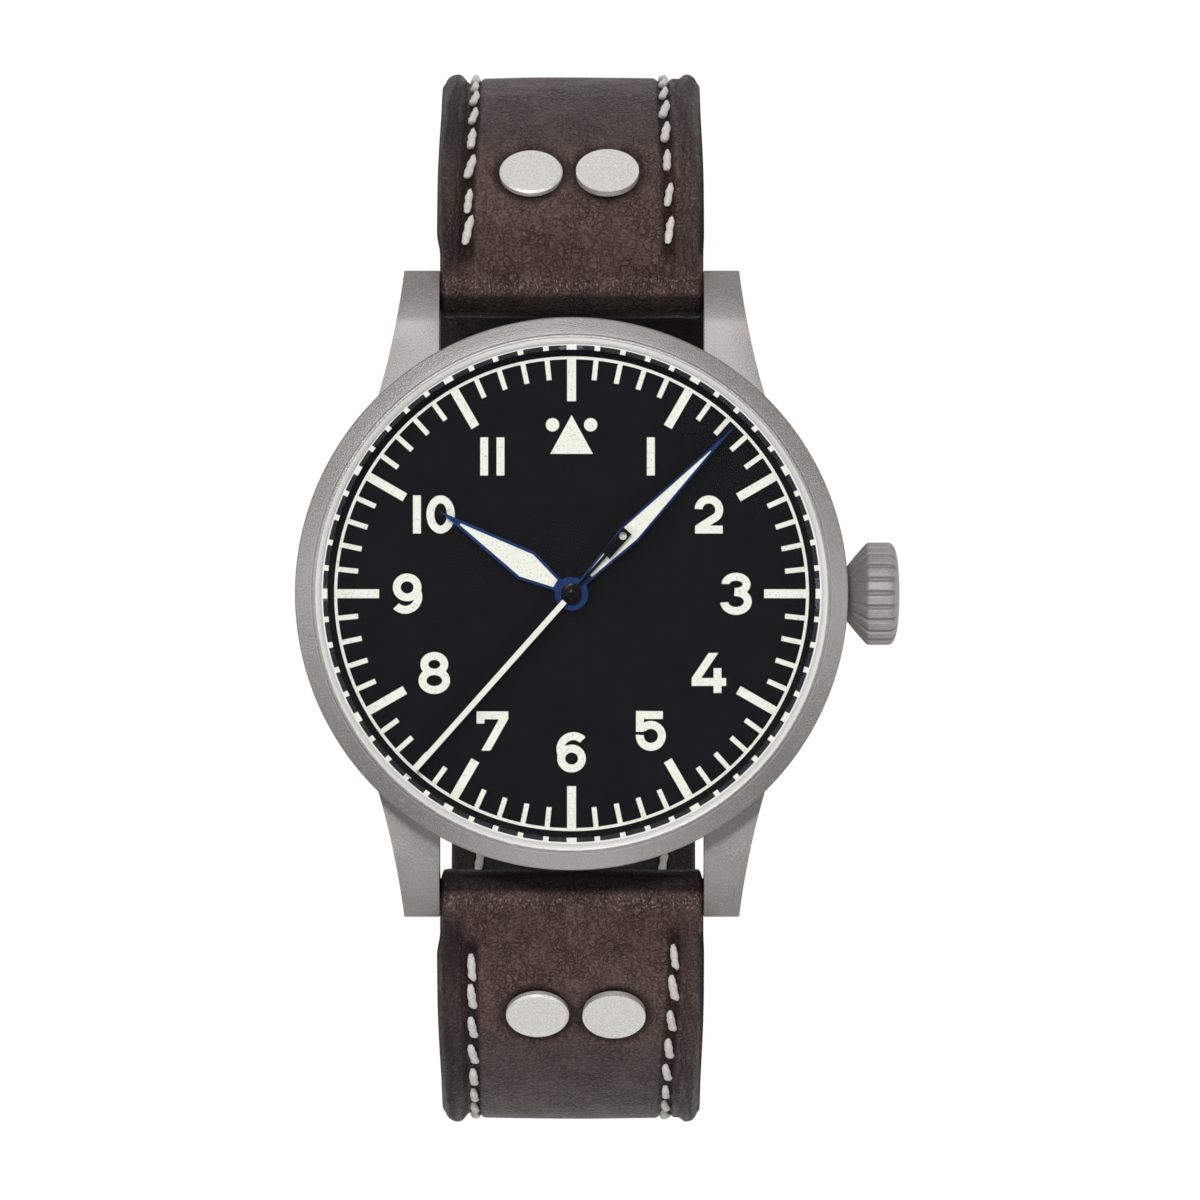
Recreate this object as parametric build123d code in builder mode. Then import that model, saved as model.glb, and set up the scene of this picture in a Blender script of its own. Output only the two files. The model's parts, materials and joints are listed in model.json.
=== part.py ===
from build123d import *
import os
from math import atan2, cos, degrees, hypot, pi, radians, sin, sqrt

os.makedirs("parts", exist_ok=True)

# Pilot watch with a leather strap, in millimetres.
# +Z leaves the dial, +Y points to twelve o'clock, +X to the crown.
# The origin is the centre of the flat face of the case back.

# Common clearances
cut_overrun = 2.0
running_gap = 0.05
seat_gap = 0.02

# Case
case_radius = 20.5
case_bottom = 0.8
case_bore_radius = 16.5
case_edge_break = 0.5
bezel_radius = 21.0
bezel_seat_level = 7.4
bezel_top_level = 10.0
bezel_opening_radius = 18.65
bezel_inner_slope = 0.5
bezel_edge_round = 0.45
crystal_radius = 18.85
crystal_thickness = 1.3
crystal_level = 9.3
crystal_bevel = 0.35
gasket_width = 0.15

# Lugs
lug_gap = 20.2
lug_tip = 24.7
lug_tip_half_width = 12.8
lug_root = 13.0
lug_root_half_width = 15.4
lug_top_level = 6.6
lug_tip_top_level = 3.9
lug_tip_bottom_level = 0.5
lug_bow = 0.35

# Case back
back_radius = 17.0
back_thickness = 1.3
back_edge = 0.45
collar_radius = 16.4
collar_wall = 0.9
collar_height = 1.0
wrench_notch_count = 6
wrench_notch_width = 3.0
wrench_notch_depth = 1.2
wrench_notch_height = 0.5

# Spring bars
spring_bar_distance = 23.0
spring_bar_level = 2.4
spring_bar_radius = 0.9
spring_bar_pin_radius = 0.45
spring_bar_pin_length = 0.9
spring_bar_end_gap = 0.15

# Dial and its markings
dial_radius = 19.1
dial_level = 7.2
dial_thickness = 0.4
dial_hole_radius = 1.0
marking_height = 0.06
track_radius = 18.05
track_width = 0.23
minute_tick_length = 1.62
minute_tick_width = 0.38
hour_tick_length = 3.3
hour_tick_width = 0.68
figure_radius = 12.05
side_figure_radius = 12.5
figure_height = 2.9
figure_stroke = 0.6
figure_bar_spacing = 1.24
zero_width = 2.16
ten_bar_offset = 1.02
triangle_apex_radius = 13.58
triangle_base_radius = 10.63
triangle_base_width = 3.25
dot_radius = 0.51
dot_spacing = 2.9
dot_distance = 12.84

# Hands
hand_thickness = 0.15
lume_drop = 0.02
hour_hand_level = 8.0
minute_hand_level = 8.42
seconds_hand_level = 8.84
hour_hand_length = 11.9
hour_hand_half_width = 1.21
hour_hand_widest = 4.05
hour_hand_root_half_width = 0.34
hour_lume_start = 1.45
hour_lume_end = 9.97
hour_frame = 0.23
minute_hand_length = 17.86
minute_hand_half_width = 0.83
minute_hand_widest = 6.44
minute_hand_root_half_width = 0.24
minute_lume_start = 2.0
minute_lume_end = 15.15
minute_frame = 0.17
hand_hub_radius = 1.28
seconds_length = 17.78
seconds_width = 0.43
seconds_hub_radius = 0.8
seconds_stem_width = 0.25
seconds_paddle_width = 0.83
seconds_paddle_start = 3.9
seconds_paddle_end = 6.4
seconds_paddle_hole_radius = 0.29
seconds_paddle_hole_distance = 5.86
seconds_cap_height = 0.12
hour_angle = 302.0
minute_angle = 44.3
seconds_angle = 221.7

# Crown
stem_level = 4.2
crown_start = 21.0
crown_root_radius = 2.1
crown_radius = 3.93
crown_cone_length = 1.6
crown_grip_length = 1.7
crown_end_length = 0.75
crown_end_radius = 2.6
crown_edge_round = 0.3
crown_rib_count = 24
crown_groove_radius = 0.26
crown_pull = 1.0
crown_bore_depth = 2.6
tube_radius = 1.9
tube_bore_radius = 1.15
tube_start = 15.8
tube_end = 22.4
crown_gasket_width = 0.5
crown_gasket_length = 0.6

# Movement frame
movement_radius = 12.8
movement_rim_wall = 1.2
bridge_level = 2.9
bridge_thickness = 0.55
plate_level = 5.2
plate_floor_top = 6.5
barrel_pocket_top = 6.2
holder_radius = 16.4
screw_head_radius = 0.75
screw_head_height = 0.35
screw_radius = 0.4
core_screw_radius = 0.3
screw_slot_width = 0.22
screw_slot_depth = 0.15
post_radius = 1.0
jewel_radius = 0.6
jewel_hole_radius = 0.14
jewel_thickness = 0.3
bridge_gap = 0.35

# Going train
centre_teeth = 80
third_pinion_teeth = 10
third_teeth = 75
fourth_pinion_teeth = 10
fourth_teeth = 84
escape_pinion_teeth = 7
escape_teeth = 15
barrel_teeth = 84
centre_pinion_teeth = 12
centre_distance = 5.0
escape_distance = 4.55
barrel_distance = 6.4
wheel_thickness = 0.15
train_arbor_radius = 0.2
pivot_radius = 0.1
fourth_wheel_level = 3.6
third_wheel_level = 4.02
centre_wheel_level = 4.5
escape_wheel_level = 4.85
barrel_level = 4.8
barrel_height = 1.3
barrel_tooth_height = 0.35
barrel_wall = 0.3
third_angle = -74.85
escape_angle = 215.0
escape_wheel_radius = 2.2
train_pinion_height = 0.45

# Balance and escapement
balance_x = -7.1
balance_y = 2.6
balance_radius = 4.6
balance_rim_width = 0.6
balance_level = 3.95
balance_thickness = 0.35
hairspring_level = 3.55
hairspring_height = 0.15
hairspring_wire = 0.08
hairspring_inner_radius = 0.55
hairspring_outer_radius = 2.2
hairspring_turns = 6
pallet_x = -5.14
pallet_y = -0.43
pallet_arm = 1.25
pallet_arm_width = 0.3
fork_reach = 3.0
pallet_cock_level = 4.4
pallet_cock_thickness = 0.3
pallet_cock_reach = 2.6
roller_radius = 0.55

# Winding work
crown_wheel_teeth = 44
ratchet_teeth = 64
winding_pinion_teeth = 20
winding_wheel_radius = 3.4
winding_wheel_thickness = 0.42
winding_pinion_place = 10.2
winding_pinion_length = 0.65
sliding_pinion_radius = 1.15
sliding_pinion_start = 7.95
sliding_pinion_length = 1.5
sliding_groove_width = 0.5
sliding_groove_radius = 0.75
clutch_travel = 0.7
stem_radius = 0.6
stem_square = 0.72
stem_pilot_radius = 0.3
stem_groove_place = 11.1
stem_groove_width = 0.5
stem_groove_radius = 0.35
click_distance = 6.55
click_angle = 160.0
click_hub_radius = 0.75
click_beak_length = 2.2

# Motion work, on the dial side
motion_distance = 2.9
cannon_teeth = 12
minute_wheel_teeth = 36
minute_pinion_teeth = 10
hour_wheel_teeth = 40
motion_level = 6.58
motion_wheel_thickness = 0.2
minute_wheel_angle = -22.0
centre_tube_bore = 0.22
centre_tube_radius = 0.42
cannon_radius = 0.56
hour_pipe_bore = 0.62
hour_pipe_radius = 0.85
lever_thickness = 0.3
setting_lever_x = 10.4
setting_lever_y = -2.9
yoke_x = 9.4
yoke_y = 3.1
lever_hub_radius = 0.7
lever_arm_width = 0.8
lever_pin_radius = 0.16

# Strap
strap_width = 19.8
leather_thickness = 1.5
lining_thickness = 1.1
strap_ridge = 23.3
roll_radius = 2.2
roll_bore_radius = 1.1
first_bend_radius = 12.7
second_bend_radius = 27.6
upper_bend_radius = 15.0
lower_bend_radius = 27.3
upper_run = 15.0
lower_run = 45.0
tail_point_length = 9.0
hole_radius = 0.9
hole_count = 6
hole_spacing = 6.5
first_hole = 12.0
rivet_cap_radius = 2.42
rivet_cap_thickness = 0.5
rivet_cap_proud = 0.3
rivet_shank_radius = 0.8
rivet_washer_thickness = 0.3
rivet_spacing = 5.87
upper_rivet_shift = -0.2
lower_rivet_shift = 0.3
keeper_width = 4.0
keeper_wall = 1.1
keeper_side_gap = 0.25
keeper_face_gap = 0.2
fixed_keeper_offset = 3.6
floating_keeper_offset = 8.6

# Buckle
pin_radius = 0.6
pin_loop_radius = 1.85
pin_setback = 1.2
buckle_inner_width = 20.5
buckle_side_width = 1.8
buckle_length = 9.4
buckle_bar_width = 2.3
buckle_thickness = 1.8
buckle_corner_radius = 1.6
tongue_width = 2.0
tongue_thickness = 0.75
tongue_eye_radius = 1.1
tongue_notch_gap = 0.12
tongue_slot_gap = 0.3

# Derived places of the movement
winding_module = 2 * winding_wheel_radius / crown_wheel_teeth
ratchet_radius = winding_module * ratchet_teeth / 2
winding_pinion_radius = winding_module * winding_pinion_teeth / 2
winding_wheel_level = stem_level - winding_pinion_radius - winding_wheel_thickness / 2
crown_wheel_x = winding_pinion_place - winding_wheel_radius
winding_pinion_start = winding_pinion_place - winding_module
winding_centres = winding_wheel_radius + ratchet_radius
barrel_bearing_cosine = (barrel_distance**2 - crown_wheel_x**2 - winding_centres**2) / (
    2 * crown_wheel_x * winding_centres
)
barrel_x = crown_wheel_x + winding_centres * barrel_bearing_cosine
barrel_y = winding_centres * sqrt(1 - barrel_bearing_cosine**2)
centre_place = (0, 0)
barrel_place = (barrel_x, barrel_y)
crown_wheel_place = (crown_wheel_x, 0)
balance_place = (balance_x, balance_y)
pallet_place = (pallet_x, pallet_y)
third_place = (centre_distance * cos(radians(third_angle)), centre_distance * sin(radians(third_angle)))
escape_place = (escape_distance * cos(radians(escape_angle)), escape_distance * sin(radians(escape_angle)))
minute_wheel_place = (
    motion_distance * cos(radians(minute_wheel_angle)),
    motion_distance * sin(radians(minute_wheel_angle)),
)
bridge_top = bridge_level + bridge_thickness
holder_level = bridge_level
bridge_radius = movement_radius - running_gap
rim_inner_radius = movement_radius - movement_rim_wall
screw_circle = movement_radius - post_radius - running_gap
barrel_screw_angles = (28.0, 112.0)
train_screw_angles = (-40.0, 228.0)
cock_screw_angle = 199.5
cock_screw_turn = radians(cock_screw_angle)
cock_screw_place = (screw_circle * cos(cock_screw_turn), screw_circle * sin(cock_screw_turn))
dial_top = dial_level + dial_thickness
strap_thickness = leather_thickness + lining_thickness
roll_top = spring_bar_level + roll_radius


# Shared shapes


def level_plane(place, level):
    return Plane(origin=(place[0], place[1], level))


def clock_plane(angle, level):
    # Its Y axis points from the dial centre to a clock angle.
    turn = radians(angle)
    return Plane(origin=(0, 0, level), x_dir=(cos(turn), -sin(turn), 0), z_dir=(0, 0, 1))


def bearing(start, end):
    return degrees(atan2(end[1] - start[1], end[0] - start[0]))


tooth_root_share = 0.29
tooth_tip_share = 0.13
tooth_top_share = 0.85
tooth_bottom_share = 1.15


def gear_points(teeth, module_size, phase):
    tip = module_size * (teeth / 2 + tooth_top_share)
    root = module_size * (teeth / 2 - tooth_bottom_share)
    rising = ((-tooth_root_share, root), (-tooth_tip_share, tip))
    falling = ((tooth_tip_share, tip), (tooth_root_share, root))
    points = []
    for tooth in range(teeth):
        for share, radius in rising + falling:
            turn = radians(phase) + 2 * pi * (tooth + share) / teeth
            points.append((radius * cos(turn), radius * sin(turn)))
    return points


def gear_face(teeth, module_size, phase):
    Polygon(*gear_points(teeth, module_size, phase), align=None)


def spoked_gear(teeth, module_size, phase, hub_radius, spokes, spoke_width):
    # The toothed rim keeps the wall of three modules, and the spokes run into it.
    rim_radius = module_size * (teeth / 2 - 3)
    gear_face(teeth, module_size, phase)
    Circle(rim_radius, mode=Mode.SUBTRACT)
    Circle(hub_radius)
    with PolarLocations(0, spokes):
        Rectangle(rim_radius + module_size, spoke_width, align=(Align.MIN, Align.CENTER))


def gap_phase(teeth, toward):
    # A pinion turned this way shows a gap, not a tooth, to its wheel.
    return toward + 180 / teeth


# Mid case with its lugs

with BuildPart() as lugs:
    with BuildSketch(Plane.XY):
        with BuildLine():
            tip_line = Line((lug_gap / 2, lug_root), (lug_gap / 2, lug_tip))
            end_line = Line(tip_line @ 1, (lug_tip_half_width, lug_tip))
            middle = ((lug_tip_half_width + lug_root_half_width) / 2 - lug_bow, (lug_tip + lug_root) / 2)
            side_line = ThreePointArc(end_line @ 1, middle, (lug_root_half_width, lug_root))
            Line(side_line @ 1, tip_line @ 0)
        make_face()
        mirror(about=Plane.YZ)
        mirror(about=Plane.XZ)
    extrude(amount=bezel_seat_level)
    with BuildSketch(Plane.YZ):
        with BuildLine():
            drop = ThreePointArc(
                (case_radius, lug_top_level),
                ((case_radius + lug_tip) / 2, (lug_top_level + lug_tip_top_level) / 2 + lug_bow),
                (lug_tip, lug_tip_top_level),
            )
            tip_face = Line(drop @ 1, (lug_tip, lug_tip_bottom_level))
            under = Line(tip_face @ 1, (case_radius, case_bottom))
            Polyline(under @ 1, (0, case_bottom), (0, lug_top_level), drop @ 0)
        make_face()
        mirror(about=Plane.YZ)
    extrude(amount=lug_root_half_width + cut_overrun, both=True, mode=Mode.INTERSECT)

with BuildPart() as mid_case:
    with BuildSketch(Plane.XY.offset(case_bottom)):
        Circle(case_radius)
    extrude(amount=bezel_seat_level - case_bottom)
    chamfer(mid_case.edges().group_by(Axis.Z)[0], case_edge_break)
    add(lugs.part)
    # Bore for the movement, seat for the dial, recess for the back
    with BuildSketch(Plane.XY):
        Circle(case_bore_radius)
    extrude(amount=dial_level, mode=Mode.SUBTRACT)
    with BuildSketch(Plane.XY.offset(dial_level)):
        Circle(dial_radius + running_gap)
    extrude(amount=cut_overrun, mode=Mode.SUBTRACT)
    with BuildSketch(Plane.XY):
        Circle(back_radius + running_gap)
    extrude(amount=back_thickness, mode=Mode.SUBTRACT)
    # Hole for the crown tube
    with BuildSketch(Plane.YZ.offset(case_bore_radius / 2)):
        with Locations((0, stem_level)):
            Circle(tube_radius)
    extrude(amount=case_radius, mode=Mode.SUBTRACT)
    # Blind holes for the spring bars
    with BuildSketch(Plane.YZ.offset(-lug_gap / 2 - spring_bar_pin_length)):
        with Locations((spring_bar_distance, spring_bar_level), (-spring_bar_distance, spring_bar_level)):
            Circle(spring_bar_pin_radius + seat_gap)
    extrude(amount=lug_gap + 2 * spring_bar_pin_length, mode=Mode.SUBTRACT)

mid_case.part.label = "mid_case"
export_step(mid_case.part, "parts/mid_case.step")

# Bezel

with BuildPart() as bezel:
    with BuildSketch(Plane.XZ):
        with BuildLine():
            seat_radius = crystal_radius + gasket_width
            Polyline(
                (bezel_opening_radius, dial_top),
                (dial_radius, dial_top),
                (dial_radius, bezel_seat_level),
                (bezel_radius, bezel_seat_level),
                (bezel_radius, bezel_top_level - bezel_edge_round),
                (bezel_radius - bezel_edge_round, bezel_top_level),
                (seat_radius + bezel_inner_slope, bezel_top_level),
                (seat_radius, bezel_top_level - bezel_inner_slope / 2),
                (seat_radius, crystal_level),
                (bezel_opening_radius, crystal_level),
                close=True,
            )
        make_face()
    revolve(axis=Axis.Z)

bezel.part.label = "bezel"
export_step(bezel.part, "parts/bezel.step")

# Crystal and its gasket

with BuildPart() as crystal:
    with BuildSketch(Plane.XY.offset(crystal_level)):
        Circle(crystal_radius)
    extrude(amount=crystal_thickness)
    chamfer(crystal.edges().group_by(Axis.Z)[-1], crystal_bevel)

crystal.part.label = "crystal"
export_step(crystal.part, "parts/crystal.step")

with BuildPart() as crystal_gasket:
    with BuildSketch(Plane.XY.offset(crystal_level)):
        Circle(crystal_radius + gasket_width)
        Circle(crystal_radius, mode=Mode.SUBTRACT)
    extrude(amount=bezel_top_level - bezel_inner_slope - crystal_level)

crystal_gasket.part.label = "crystal_gasket"
export_step(crystal_gasket.part, "parts/crystal_gasket.step")

# Case back with its threaded collar and wrench notches

with BuildPart() as case_back:
    with BuildSketch(Plane.XY):
        Circle(back_radius)
    extrude(amount=back_thickness)
    chamfer(case_back.edges().group_by(Axis.Z)[0], back_edge)
    with BuildSketch(Plane.XY.offset(back_thickness)):
        Circle(collar_radius)
        Circle(collar_radius - collar_wall, mode=Mode.SUBTRACT)
    extrude(amount=collar_height)
    with BuildSketch(Plane.XY):
        with PolarLocations(back_radius, wrench_notch_count):
            Rectangle(2 * wrench_notch_depth, wrench_notch_width)
    extrude(amount=wrench_notch_height, mode=Mode.SUBTRACT)

case_back.part.label = "case_back"
export_step(case_back.part, "parts/case_back.step")

with BuildPart() as case_back_gasket:
    with BuildSketch(Plane.XY.offset(back_thickness)):
        Circle(case_bore_radius)
        Circle(collar_radius, mode=Mode.SUBTRACT)
    extrude(amount=collar_height / 2)

case_back_gasket.part.label = "case_back_gasket"
export_step(case_back_gasket.part, "parts/case_back_gasket.step")

# Crown tube

with BuildPart() as crown_tube:
    with BuildSketch(Plane.YZ.offset(tube_start)):
        with Locations((0, stem_level)):
            Circle(tube_radius - crown_gasket_width)
            Circle(tube_bore_radius, mode=Mode.SUBTRACT)
    extrude(amount=tube_end - tube_start)
    with BuildSketch(Plane.YZ.offset(tube_start)):
        with Locations((0, stem_level)):
            Circle(tube_radius)
            Circle(tube_bore_radius, mode=Mode.SUBTRACT)
    extrude(amount=case_radius - tube_start - case_edge_break)

crown_tube.part.label = "crown_tube"
export_step(crown_tube.part, "parts/crown_tube.step")

# Movement ring, which carries the movement and the dial

with BuildPart() as movement_ring:
    with BuildSketch(Plane.XY.offset(holder_level)):
        Circle(holder_radius)
        Circle(movement_radius + running_gap, mode=Mode.SUBTRACT)
    extrude(amount=dial_level - holder_level)
    with BuildSketch(Plane.YZ):
        with Locations((0, stem_level)):
            Circle(tube_radius + running_gap)
    extrude(amount=case_radius, mode=Mode.SUBTRACT)

movement_ring.part.label = "movement_ring"
export_step(movement_ring.part, "parts/movement_ring.step")

# Case clamps, which hold the movement in its ring

clamp_angles = (70.0, 160.0, 250.0, 340.0)
clamp_length = 2.4
clamp_width = 1.8
clamp_radius = movement_radius + running_gap
clamp_level = holder_level - screw_head_height
with BuildPart() as case_clamps:
    for angle in clamp_angles:
        turn = radians(angle)
        place = (clamp_radius * cos(turn), clamp_radius * sin(turn), clamp_level)
        with BuildSketch(Plane(origin=place, x_dir=(cos(turn), sin(turn), 0), z_dir=(0, 0, 1))):
            RectangleRounded(clamp_length, clamp_width, clamp_width / 3)
        extrude(amount=screw_head_height)

case_clamps.part.label = "case_clamps"
export_step(case_clamps.part, "parts/case_clamps.step")

# Spring bars

bar_half = lug_gap / 2 - spring_bar_end_gap
with BuildPart() as spring_bars:
    with BuildSketch(Plane.XY.offset(spring_bar_level)):
        with BuildLine():
            Polyline(
                (0, spring_bar_distance),
                (0, spring_bar_distance + spring_bar_radius),
                (bar_half, spring_bar_distance + spring_bar_radius),
                (bar_half, spring_bar_distance + spring_bar_pin_radius),
                (lug_gap / 2 + spring_bar_pin_length, spring_bar_distance + spring_bar_pin_radius),
                (lug_gap / 2 + spring_bar_pin_length, spring_bar_distance),
                close=True,
            )
        make_face()
        mirror(about=Plane.YZ)
    revolve(axis=Axis((0, spring_bar_distance, spring_bar_level), (1, 0, 0)))
    mirror(about=Plane.XZ)

spring_bars.part.label = "spring_bars"
export_step(spring_bars.part, "parts/spring_bars.step")

# Dial

with BuildPart() as dial:
    with BuildSketch(Plane.XY.offset(dial_level)):
        Circle(dial_radius)
        Circle(dial_hole_radius, mode=Mode.SUBTRACT)
    extrude(amount=dial_thickness)

dial.part.label = "dial"
export_step(dial.part, "parts/dial.step")

# Figures, drawn as strokes in shares of the figure height.
# A ring is (centre x, centre y, half width, half height) outside, an arc is (centre x, centre y, radius,
# start, sweep) and a line is (x, y, x, y) along the middle of the stroke.

figure_stroke_shares = {
    2: (
        ("arc", 0, 0.122, 0.271, 176, -212),
        ("line", 0.204, -0.058, -0.27, -0.36),
        ("line", -0.36, -0.397, 0.362, -0.397),
    ),
    3: (("arc", -0.012, 0.180, 0.227, 172, -262), ("arc", -0.012, -0.135, 0.272, 90, -262)),
    4: (
        ("line", 0.18, 0.6, -0.345, -0.18),
        ("line", -0.43, -0.225, 0.43, -0.225),
        ("line", 0.215, 0.12, 0.215, -0.5),
    ),
    5: (
        ("line", -0.37, 0.397, 0.3, 0.397),
        ("line", -0.272, 0.5, -0.272, -0.02),
        ("arc", 0, -0.122, 0.275, 140, -325),
    ),
    6: (("ring", 0, -0.156, 0.354, 0.344), ("arc", 0.046, 0.077, 0.322, 215, -170)),
    7: (
        ("line", -0.4, 0.397, 0.405, 0.397),
        ("line", -0.3, 0.5, -0.3, 0.19),
        ("line", 0.33, 0.38, -0.22, -0.6),
    ),
    8: (("ring", 0, 0.206, 0.331, 0.294), ("ring", 0, -0.181, 0.375, 0.319)),
    9: (("ring", 0, 0.156, 0.354, 0.344), ("arc", -0.046, -0.077, 0.322, 35, -170)),
}
figure_height_shares = {2: 1.0, 3: 1.1, 4: 1.05, 5: 1.05, 6: 1.06, 7: 1.03, 8: 1.1, 9: 1.06}


def stroke_middles(digit, height):
    # The middle lines of a figure's strokes, made before any sketch is open.
    middles = []
    for kind, *shares in figure_stroke_shares[digit]:
        if kind == "arc":
            x, y, radius, start, sweep = shares
            middles.append(CenterArc((x * height, y * height), radius * height, start, sweep))
        if kind == "line":
            x_start, y_start, x_end, y_end = (share * height for share in shares)
            middles.append(Line((x_start, y_start), (x_end, y_end)))
    return middles


def stroke_figure(digit, height, middles):
    strokes = figure_stroke_shares[digit]
    rings = [[share * height for share in shares] for kind, *shares in strokes if kind == "ring"]
    for x, y, half_width, half_height in rings:
        with Locations((x, y)):
            Ellipse(half_width, half_height)
    for x, y, half_width, half_height in rings:
        with Locations((x, y)):
            Ellipse(half_width - figure_stroke, half_height - figure_stroke, mode=Mode.SUBTRACT)
    for middle in middles:
        trace(middle, figure_stroke)
    # Slanting strokes end flat at the top and foot of the figure
    Rectangle(2 * height, height, mode=Mode.INTERSECT)


figure_heights = {digit: figure_height * share for digit, share in figure_height_shares.items()}
figure_middles = {digit: stroke_middles(digit, height) for digit, height in figure_heights.items()}


def hour_place(hour, radius):
    turn = radians(30 * hour)
    return (radius * sin(turn), radius * cos(turn))


with BuildPart() as dial_markers:
    # Minute track with sixty ticks, the hour ones longer
    with BuildSketch(Plane.XY.offset(dial_top)):
        Circle(track_radius)
        Circle(track_radius - track_width, mode=Mode.SUBTRACT)
        with PolarLocations(track_radius - minute_tick_length / 2 - track_width / 2, 60):
            Rectangle(minute_tick_length, minute_tick_width)
        with PolarLocations(track_radius - hour_tick_length / 2 - track_width / 2, 12):
            Rectangle(hour_tick_length, hour_tick_width)
    extrude(amount=marking_height)
    # Orientation triangle with its two dots
    with BuildSketch(Plane.XY.offset(dial_top)):
        with BuildLine():
            Polyline(
                (-triangle_base_width / 2, triangle_base_radius),
                (triangle_base_width / 2, triangle_base_radius),
                (0, triangle_apex_radius),
                close=True,
            )
        make_face()
        with Locations((-dot_spacing / 2, dot_distance), (dot_spacing / 2, dot_distance)):
            Circle(dot_radius)
    extrude(amount=marking_height)
    # Plain figures
    for digit, height in figure_heights.items():
        radius = side_figure_radius if digit in (3, 9) else figure_radius
        with BuildSketch(level_plane(hour_place(digit, radius), dial_top)):
            stroke_figure(digit, height, figure_middles[digit])
        extrude(amount=marking_height)
    with BuildSketch(level_plane(hour_place(1, figure_radius), dial_top)):
        Rectangle(figure_stroke, figure_height)
    extrude(amount=marking_height)
    with BuildSketch(level_plane(hour_place(11, figure_radius), dial_top)):
        with GridLocations(figure_bar_spacing, 0, 2, 1):
            Rectangle(figure_stroke, figure_height)
    extrude(amount=marking_height)
    with BuildSketch(level_plane(hour_place(10, figure_radius), dial_top)):
        with Locations((-ten_bar_offset - figure_stroke / 2, 0)):
            Rectangle(figure_stroke, figure_height)
        with Locations((zero_width / 2 - figure_stroke, 0)):
            Ellipse(zero_width / 2, figure_height / 2)
            Ellipse(zero_width / 2 - figure_stroke, figure_height / 2 - figure_stroke, mode=Mode.SUBTRACT)
    extrude(amount=marking_height)

dial_markers.part.label = "dial_markers"
export_step(dial_markers.part, "parts/dial_markers.step")

# Hands


def hand_points(half_root, half_wide, root, widest, tip):
    return ((-half_root, root), (-half_wide, widest), (0, tip), (half_wide, widest), (half_root, root))


def lume_points(hand, frame, start, end):
    # The filling keeps the frame's width inside the hand's outline and ends square.
    half_root, half_wide, root, widest, tip = hand
    rise = half_wide / (tip - widest)
    slant = frame * hypot(1, rise)
    wide = half_wide - slant
    near = half_root + (half_wide - half_root) * (start - root) / (widest - root) - slant
    far = (tip - end) * rise - slant
    return ((-near, start), (-wide, widest), (-far, end), (far, end), (wide, widest), (near, start))


hub_root = hand_hub_radius / 2
hour_outline = (hour_hand_root_half_width, hour_hand_half_width, hub_root, hour_hand_widest, hour_hand_length)
minute_outline = (
    minute_hand_root_half_width,
    minute_hand_half_width,
    hub_root,
    minute_hand_widest,
    minute_hand_length,
)
hour_lume = lume_points(hour_outline, hour_frame, hour_lume_start, hour_lume_end)
minute_lume = lume_points(minute_outline, minute_frame, minute_lume_start, minute_lume_end)

with BuildPart() as hour_hand:
    with BuildSketch(clock_plane(hour_angle, hour_hand_level)):
        Polygon(*hand_points(*hour_outline), align=None)
        Polygon(*hour_lume, align=None, mode=Mode.SUBTRACT)
        Circle(hand_hub_radius)
        Circle(hour_pipe_radius, mode=Mode.SUBTRACT)
    extrude(amount=hand_thickness)

hour_hand.part.label = "hour_hand"
export_step(hour_hand.part, "parts/hour_hand.step")

with BuildPart() as hour_hand_lume:
    with BuildSketch(clock_plane(hour_angle, hour_hand_level)):
        Polygon(*hour_lume, align=None)
    extrude(amount=hand_thickness - lume_drop)

hour_hand_lume.part.label = "hour_hand_lume"
export_step(hour_hand_lume.part, "parts/hour_hand_lume.step")

with BuildPart() as minute_hand:
    with BuildSketch(clock_plane(minute_angle, minute_hand_level)):
        Polygon(*hand_points(*minute_outline), align=None)
        Polygon(*minute_lume, align=None, mode=Mode.SUBTRACT)
        Circle(hand_hub_radius)
        Circle(cannon_radius, mode=Mode.SUBTRACT)
    extrude(amount=hand_thickness)

minute_hand.part.label = "minute_hand"
export_step(minute_hand.part, "parts/minute_hand.step")

with BuildPart() as minute_hand_lume:
    with BuildSketch(clock_plane(minute_angle, minute_hand_level)):
        Polygon(*minute_lume, align=None)
    extrude(amount=hand_thickness - lume_drop)

minute_hand_lume.part.label = "minute_hand_lume"
export_step(minute_hand_lume.part, "parts/minute_hand_lume.step")

with BuildPart() as seconds_hand:
    with BuildSketch(clock_plane(seconds_angle, seconds_hand_level)):
        Rectangle(seconds_width, seconds_length, align=(Align.CENTER, Align.MIN))
        Rectangle(seconds_stem_width, seconds_paddle_start, align=(Align.CENTER, Align.MAX))
        with Locations((0, -(seconds_paddle_start + seconds_paddle_end) / 2)):
            Rectangle(seconds_paddle_width, seconds_paddle_end - seconds_paddle_start)
        with Locations((0, -seconds_paddle_hole_distance)):
            Circle(seconds_paddle_hole_radius, mode=Mode.SUBTRACT)
        Circle(seconds_hub_radius)
    extrude(amount=hand_thickness)
    with BuildSketch(Plane.XY.offset(seconds_hand_level)):
        Circle(seconds_hub_radius / 2)
    extrude(amount=hand_thickness + seconds_cap_height)
    with BuildSketch(Plane.XY.offset(seconds_hand_level)):
        Circle(train_arbor_radius)
    extrude(amount=hand_thickness, mode=Mode.SUBTRACT)

seconds_hand.part.label = "seconds_hand"
export_step(seconds_hand.part, "parts/seconds_hand.step")

# Main plate: a floor, a rim, pockets for the wheels and a slot for the stem

slot_half_width = winding_pinion_radius + winding_module + running_gap * 3
plate_pilot_length = 0.8
plate_pilot_wall = 0.4
plate_pilot_start = sliding_pinion_start - clutch_travel - running_gap - plate_pilot_length
pivot_holes = (third_place, escape_place, balance_place, pallet_place)

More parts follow.
